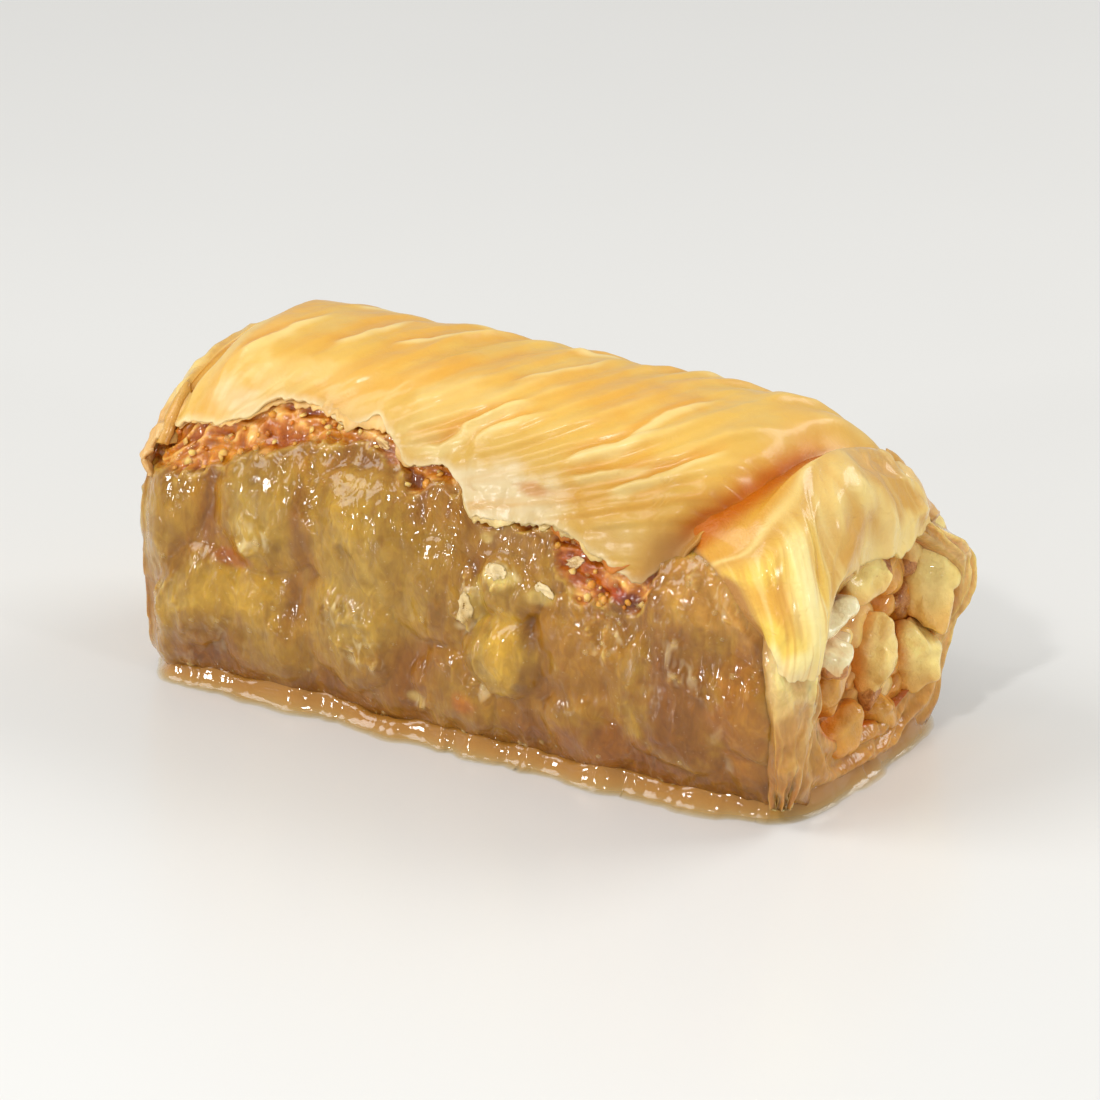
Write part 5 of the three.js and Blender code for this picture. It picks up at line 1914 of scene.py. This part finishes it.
# %% [markdown]
# ### Scraps of film
#
# A few scraps of dry sheet fell on the wet side and stuck there. Each is a
# small crumpled sheet laid on the body at a named place.

# %% Scraps of film by the torn edge
FILM_SHEET = 0.1
FILM_PALE = srgb(232, 208, 160)
FILM_CURLS = [           # x, arc, size, turn, colour
    (5.4, 20.4, 2.4, 0.15, WET_WHITE), (9.8, 21.4, 2.0, 0.5, WET_WHITE),
    (12.2, 18.6, 2.0, -0.4, srgb(226, 200, 160)), (2.4, 24.2, 2.8, 1.5, srgb(222, 200, 148)),
    (-8.6, 12.2, 1.6, 0.4, srgb(240, 190, 110)), (-16, -19.4, 2.2, 0.8, WET_WHITE),
    (6, -21.4, 2.4, 2.1, WET_WHITE), (20, -21, 2.0, 0.3, srgb(222, 186, 130)),
]


def film_curl(x, arc, size, turn, seed):
    """A crumpled scrap of wet sheet that stands a little off the side."""
    u, v = np.meshgrid(np.linspace(-1, 1, 20), np.linspace(-1, 1, 16))
    wide, tall = u * np.sqrt(1 - v ** 2 / 2), v * np.sqrt(1 - u ** 2 / 2)
    ragged = 1 + 0.22 * layered(wide * 2.2, tall * 2.2, seed)
    across, along = 0.46 * size * wide * ragged, 0.22 * size * tall * ragged
    c, s = math.cos(turn), math.sin(turn)
    xs, arcs = x + across * c - along * s, arc + across * s + along * c
    crumple = ridged(wide * 1.6 + seed, tall * 2.4, seed + 1)
    off = 0.06 + 0.09 * size * np.maximum(0, crumple) * (1 - 0.8 * (wide ** 2 + tall ** 2) / 2)
    return on_roll(xs, arcs, body_lift(xs, arcs) + off)


curl_parts = []
for i, (x, arc, size, turn, tint) in enumerate(FILM_CURLS):
    grid = film_curl(x, arc, size, turn, 701 + 3 * i)
    points, faces = sheet_mesh(grid, np.full(grid.shape[:2], FILM_SHEET), on_axis(grid))
    pale = np.tile(mix(tint, FILM_PALE, 0.6), (len(points), 1))
    curl_parts.append((points, faces, pale, {"film": np.ones(len(points))}))
film_curls = closed(mixed_mesh("film_curls", curl_parts, DRAPED))

# %% [markdown]
# ## Syrup
#
# Syrup runs off the piece and stands round its foot. Where it meets the
# pastry it climbs a little, and it ends in a thin rounded edge. The skirt is
# one closed ring with that profile, wavy in width. Small beads of syrup sit
# on the foot and on the wet sides; the same tree scatters them.

# %% Syrup round the foot
SKIRT_STEPS = 900
SKIRT_WIDTH = 1.45
SKIRT_CLIMB = 1.0
SKIRT_START = 2.2        # height at which the syrup leaves the wall
SKIRT_SHAPE = [          # millimetres inwards or share of the width outwards, and height
    (-1.5, 0.02), (-1.5, 1.9), (-0.4, 2.5), (0.02, 2.1), (0.12, 1.6), (0.24, 1.15), (0.38, 0.75),
    (0.54, 0.45), (0.72, 0.26), (0.88, 0.15), (0.98, 0.08), (1.0, 0.04), (0.97, 0.02),
]
SKIRT_DEEP = (1, 1, 1, 1, 1, 0.95, 0.85, 0.66, 0.42, 0.2, 0.08, 0, 0)      # amber share of each ring


def foot_wall(x, side):
    """Half-width of the piece at the height where the syrup leaves it."""
    arcs = np.linspace(28, 42, 60)
    xs, arc = np.meshgrid(x, arcs * side, indexing="ij")
    wall = on_roll(xs, arc, body_lift(xs, arc))
    return np.array([np.interp(-SKIRT_START, -w[:, 2], np.abs(w[:, 1])) for w in wall])


def foot_outline(count):
    """Outline of the foot as points and outward directions, from above."""
    half_x, half_y = HALF + 0.3, WIDTH / 2
    angle = np.linspace(0, 2 * np.pi, count, endpoint=False)
    reach = (np.abs(np.cos(angle)) ** 9 + np.abs(np.sin(angle)) ** 9) ** (-1 / 9)
    points = np.stack([np.cos(angle) * reach * half_x, np.sin(angle) * reach * half_y], -1)
    x = np.clip(points[:, 0], -HALF, HALF)
    wall = np.where(points[:, 1] < 0, foot_wall(x, 1), foot_wall(x, -1))
    points[:, 1] *= wall / half_y
    step = np.roll(points, -1, 0) - np.roll(points, 1, 0)
    step /= np.linalg.norm(step, axis=1, keepdims=True)
    return points, np.stack([step[:, 1], -step[:, 0]], -1)


def syrup_skirt():
    points, out = foot_outline(SKIRT_STEPS)
    run = np.cumsum(np.linalg.norm(np.roll(points, -1, 0) - points, axis=1))
    sway = layered(points[:, 0] / 7, points[:, 1] / 7, 601) + 0.4 * layered(run / 2.2, run * 0, 603)
    width = SKIRT_WIDTH * (0.8 + 0.45 * sway)
    climb = SKIRT_CLIMB * (0.8 + 0.4 * layered(run / 3.1, run * 0, 607))
    rings = []
    for reach, height in SKIRT_SHAPE:
        away = np.where(reach > 0, reach * width, reach)
        ring = np.concatenate([points + out * away[:, None], (height * climb)[:, None]], 1)
        ring[:, 2] = np.maximum(ring[:, 2], 0.02) if height > 0.02 else 0.02
        rings.append(ring)
    return np.array(rings)


skirt = syrup_skirt()
syrup_pool = closed(build_mesh(
    "syrup_pool", skirt.reshape(-1, 3), ring_faces(skirt), SYRUP,
    fields={"deep": np.repeat(SKIRT_DEEP, SKIRT_STEPS)}))

# %% Syrup beads
def bead_base(side):
    """The wet side, weighted to the foot and to the crumpled film."""
    arc, x = np.meshgrid(side * np.linspace(13, 39.5, 60), np.linspace(-31.5, 31.5, 240), indexing="ij")
    grid = on_roll(x, arc, body_lift(x, arc))
    weight = 0.05 + 0.5 * film_share(x, arc) + smooth(36.5, 38.5, np.abs(arc)) + 0.5 * band_share(x, arc)
    return outward_patch("bead_base", grid, weight)


directions, faces = ball(1)
bead = unit_shape("bead", directions * 0.5, faces, SYRUP, srgb(240, 220, 170),
                  {"deep": np.full(len(directions), 0.25)})
bead_bases = [bead_base(side) for side in (1, -1)]
syrup_beads = joined("syrup_beads", [
    scattered("beads", base, bead, SYRUP, 0.5, 0.25, 0.8, 0.55, 121 + i)
    for i, base in enumerate(bead_bases)])
drop(bead, *bead_bases)

# %% [markdown]
# ## Floor, light and camera
#
# A pale, slightly glossy floor stands in for the tray. Two large soft boxes
# light the piece from the left and from behind, and small ones in front give
# the syrup its glints. The camera looks down on the near cut and the front.

# %% Floor
def floor_finish():
    finish = Finish("pale_floor")
    cloud = finish.noise(60.0, detail=2)
    finish.link(finish.blended(cloud, srgb(230, 229, 225), srgb(226, 225, 221)), "Base Color")
    finish.set(Roughness=0.28, IOR=1.45)
    return finish.material


FLOOR = 3.0               # half its side, in metres
floor_mesh = bpy.data.meshes.new("floor")
corners = [(x * FLOOR, y * FLOOR, 0) for x, y in ((-1, -1), (1, -1), (1, 1), (-1, 1))]
floor_mesh.from_pydata(corners, [], [(0, 1, 2, 3)])
floor_mesh.materials.append(floor_finish())
floor = link_object("floor", floor_mesh)

# %% Lights
LIGHTS = [                # name, place, size, watts
    ("big_left", (-320, -260, 420), (300, 300), 1.25),
    ("back_right", (260, 340, 380), (320, 200), 1.1),
    ("front_glint", (60, -420, 380), (36, 36), 0.7),
    ("low_front", (-230, -400, 90), (56, 56), 0.36),
    ("low_right", (400, -130, 150), (44, 44), 0.3),
    ("spark_0", (-180, -420, 160), (16, 16), 0.08),
    ("spark_1", (160, -400, 90), (16, 16), 0.08),
    ("spark_2", (-60, -300, 520), (16, 16), 0.08),
]
LIGHT_AIM = (0, 0, 12)
ROOM_LIGHT = 0.5


def aimed(name, data, place, target):
    """Links a light or a camera at a place, turned to a target, both in millimetres."""
    thing = link_object(name, data)
    thing.location = np.array(place) * MM
    way = Vector(np.array(target) * MM) - thing.location
    thing.rotation_euler = way.to_track_quat("-Z", "Y").to_euler()
    return thing


for name, place, size, watts in LIGHTS:
    light = bpy.data.lights.new(name, "AREA")
    light.shape = "RECTANGLE"
    light.size, light.size_y = size[0] * MM, size[1] * MM
    light.energy = watts
    aimed(name, light, place, LIGHT_AIM)
world = bpy.data.worlds.new("white_room")
world.use_nodes = True
backdrop = world.node_tree.nodes["Background"].inputs
backdrop["Color"].default_value = (1, 1, 1, 1)
backdrop["Strength"].default_value = ROOM_LIGHT
bpy.context.scene.world = world
bpy.context.scene.view_settings.view_transform = "Standard"

# %% Camera
CAMERA_PLACE = (252.685, -415.198, 211.5)
CAMERA_AIM = (0.5, 0, 14.5)
camera_data = bpy.data.cameras.new("camera")
camera_data.lens = 197
camera_data.sensor_width = 36
camera_data.clip_start = 0.01
bpy.context.scene.camera = aimed("camera", camera_data, CAMERA_PLACE, CAMERA_AIM)

# %% [markdown]
# ## Handing over
#
# Each piece rides on the one body of the roll and stands in for the plain
# solid that it dresses.

# %% Pieces and the solids they replace
PIECES = {
    "phyllo": (wet_pastry, crisp_cap, torn_layers, end_hoods, trailing_layers, toasted_crumbs,
               film_curls, syrup_pool, syrup_beads),
    "walnut": (walnut_pieces, nut_core, walnut_bits),
}
for slot, pieces in PIECES.items():
    for piece in pieces:
        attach(piece, "root")
for piece in PIECES["phyllo"][:-2]:
    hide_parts("phyllo_roll")
for piece in PIECES["walnut"]:
    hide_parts("walnut_filling")
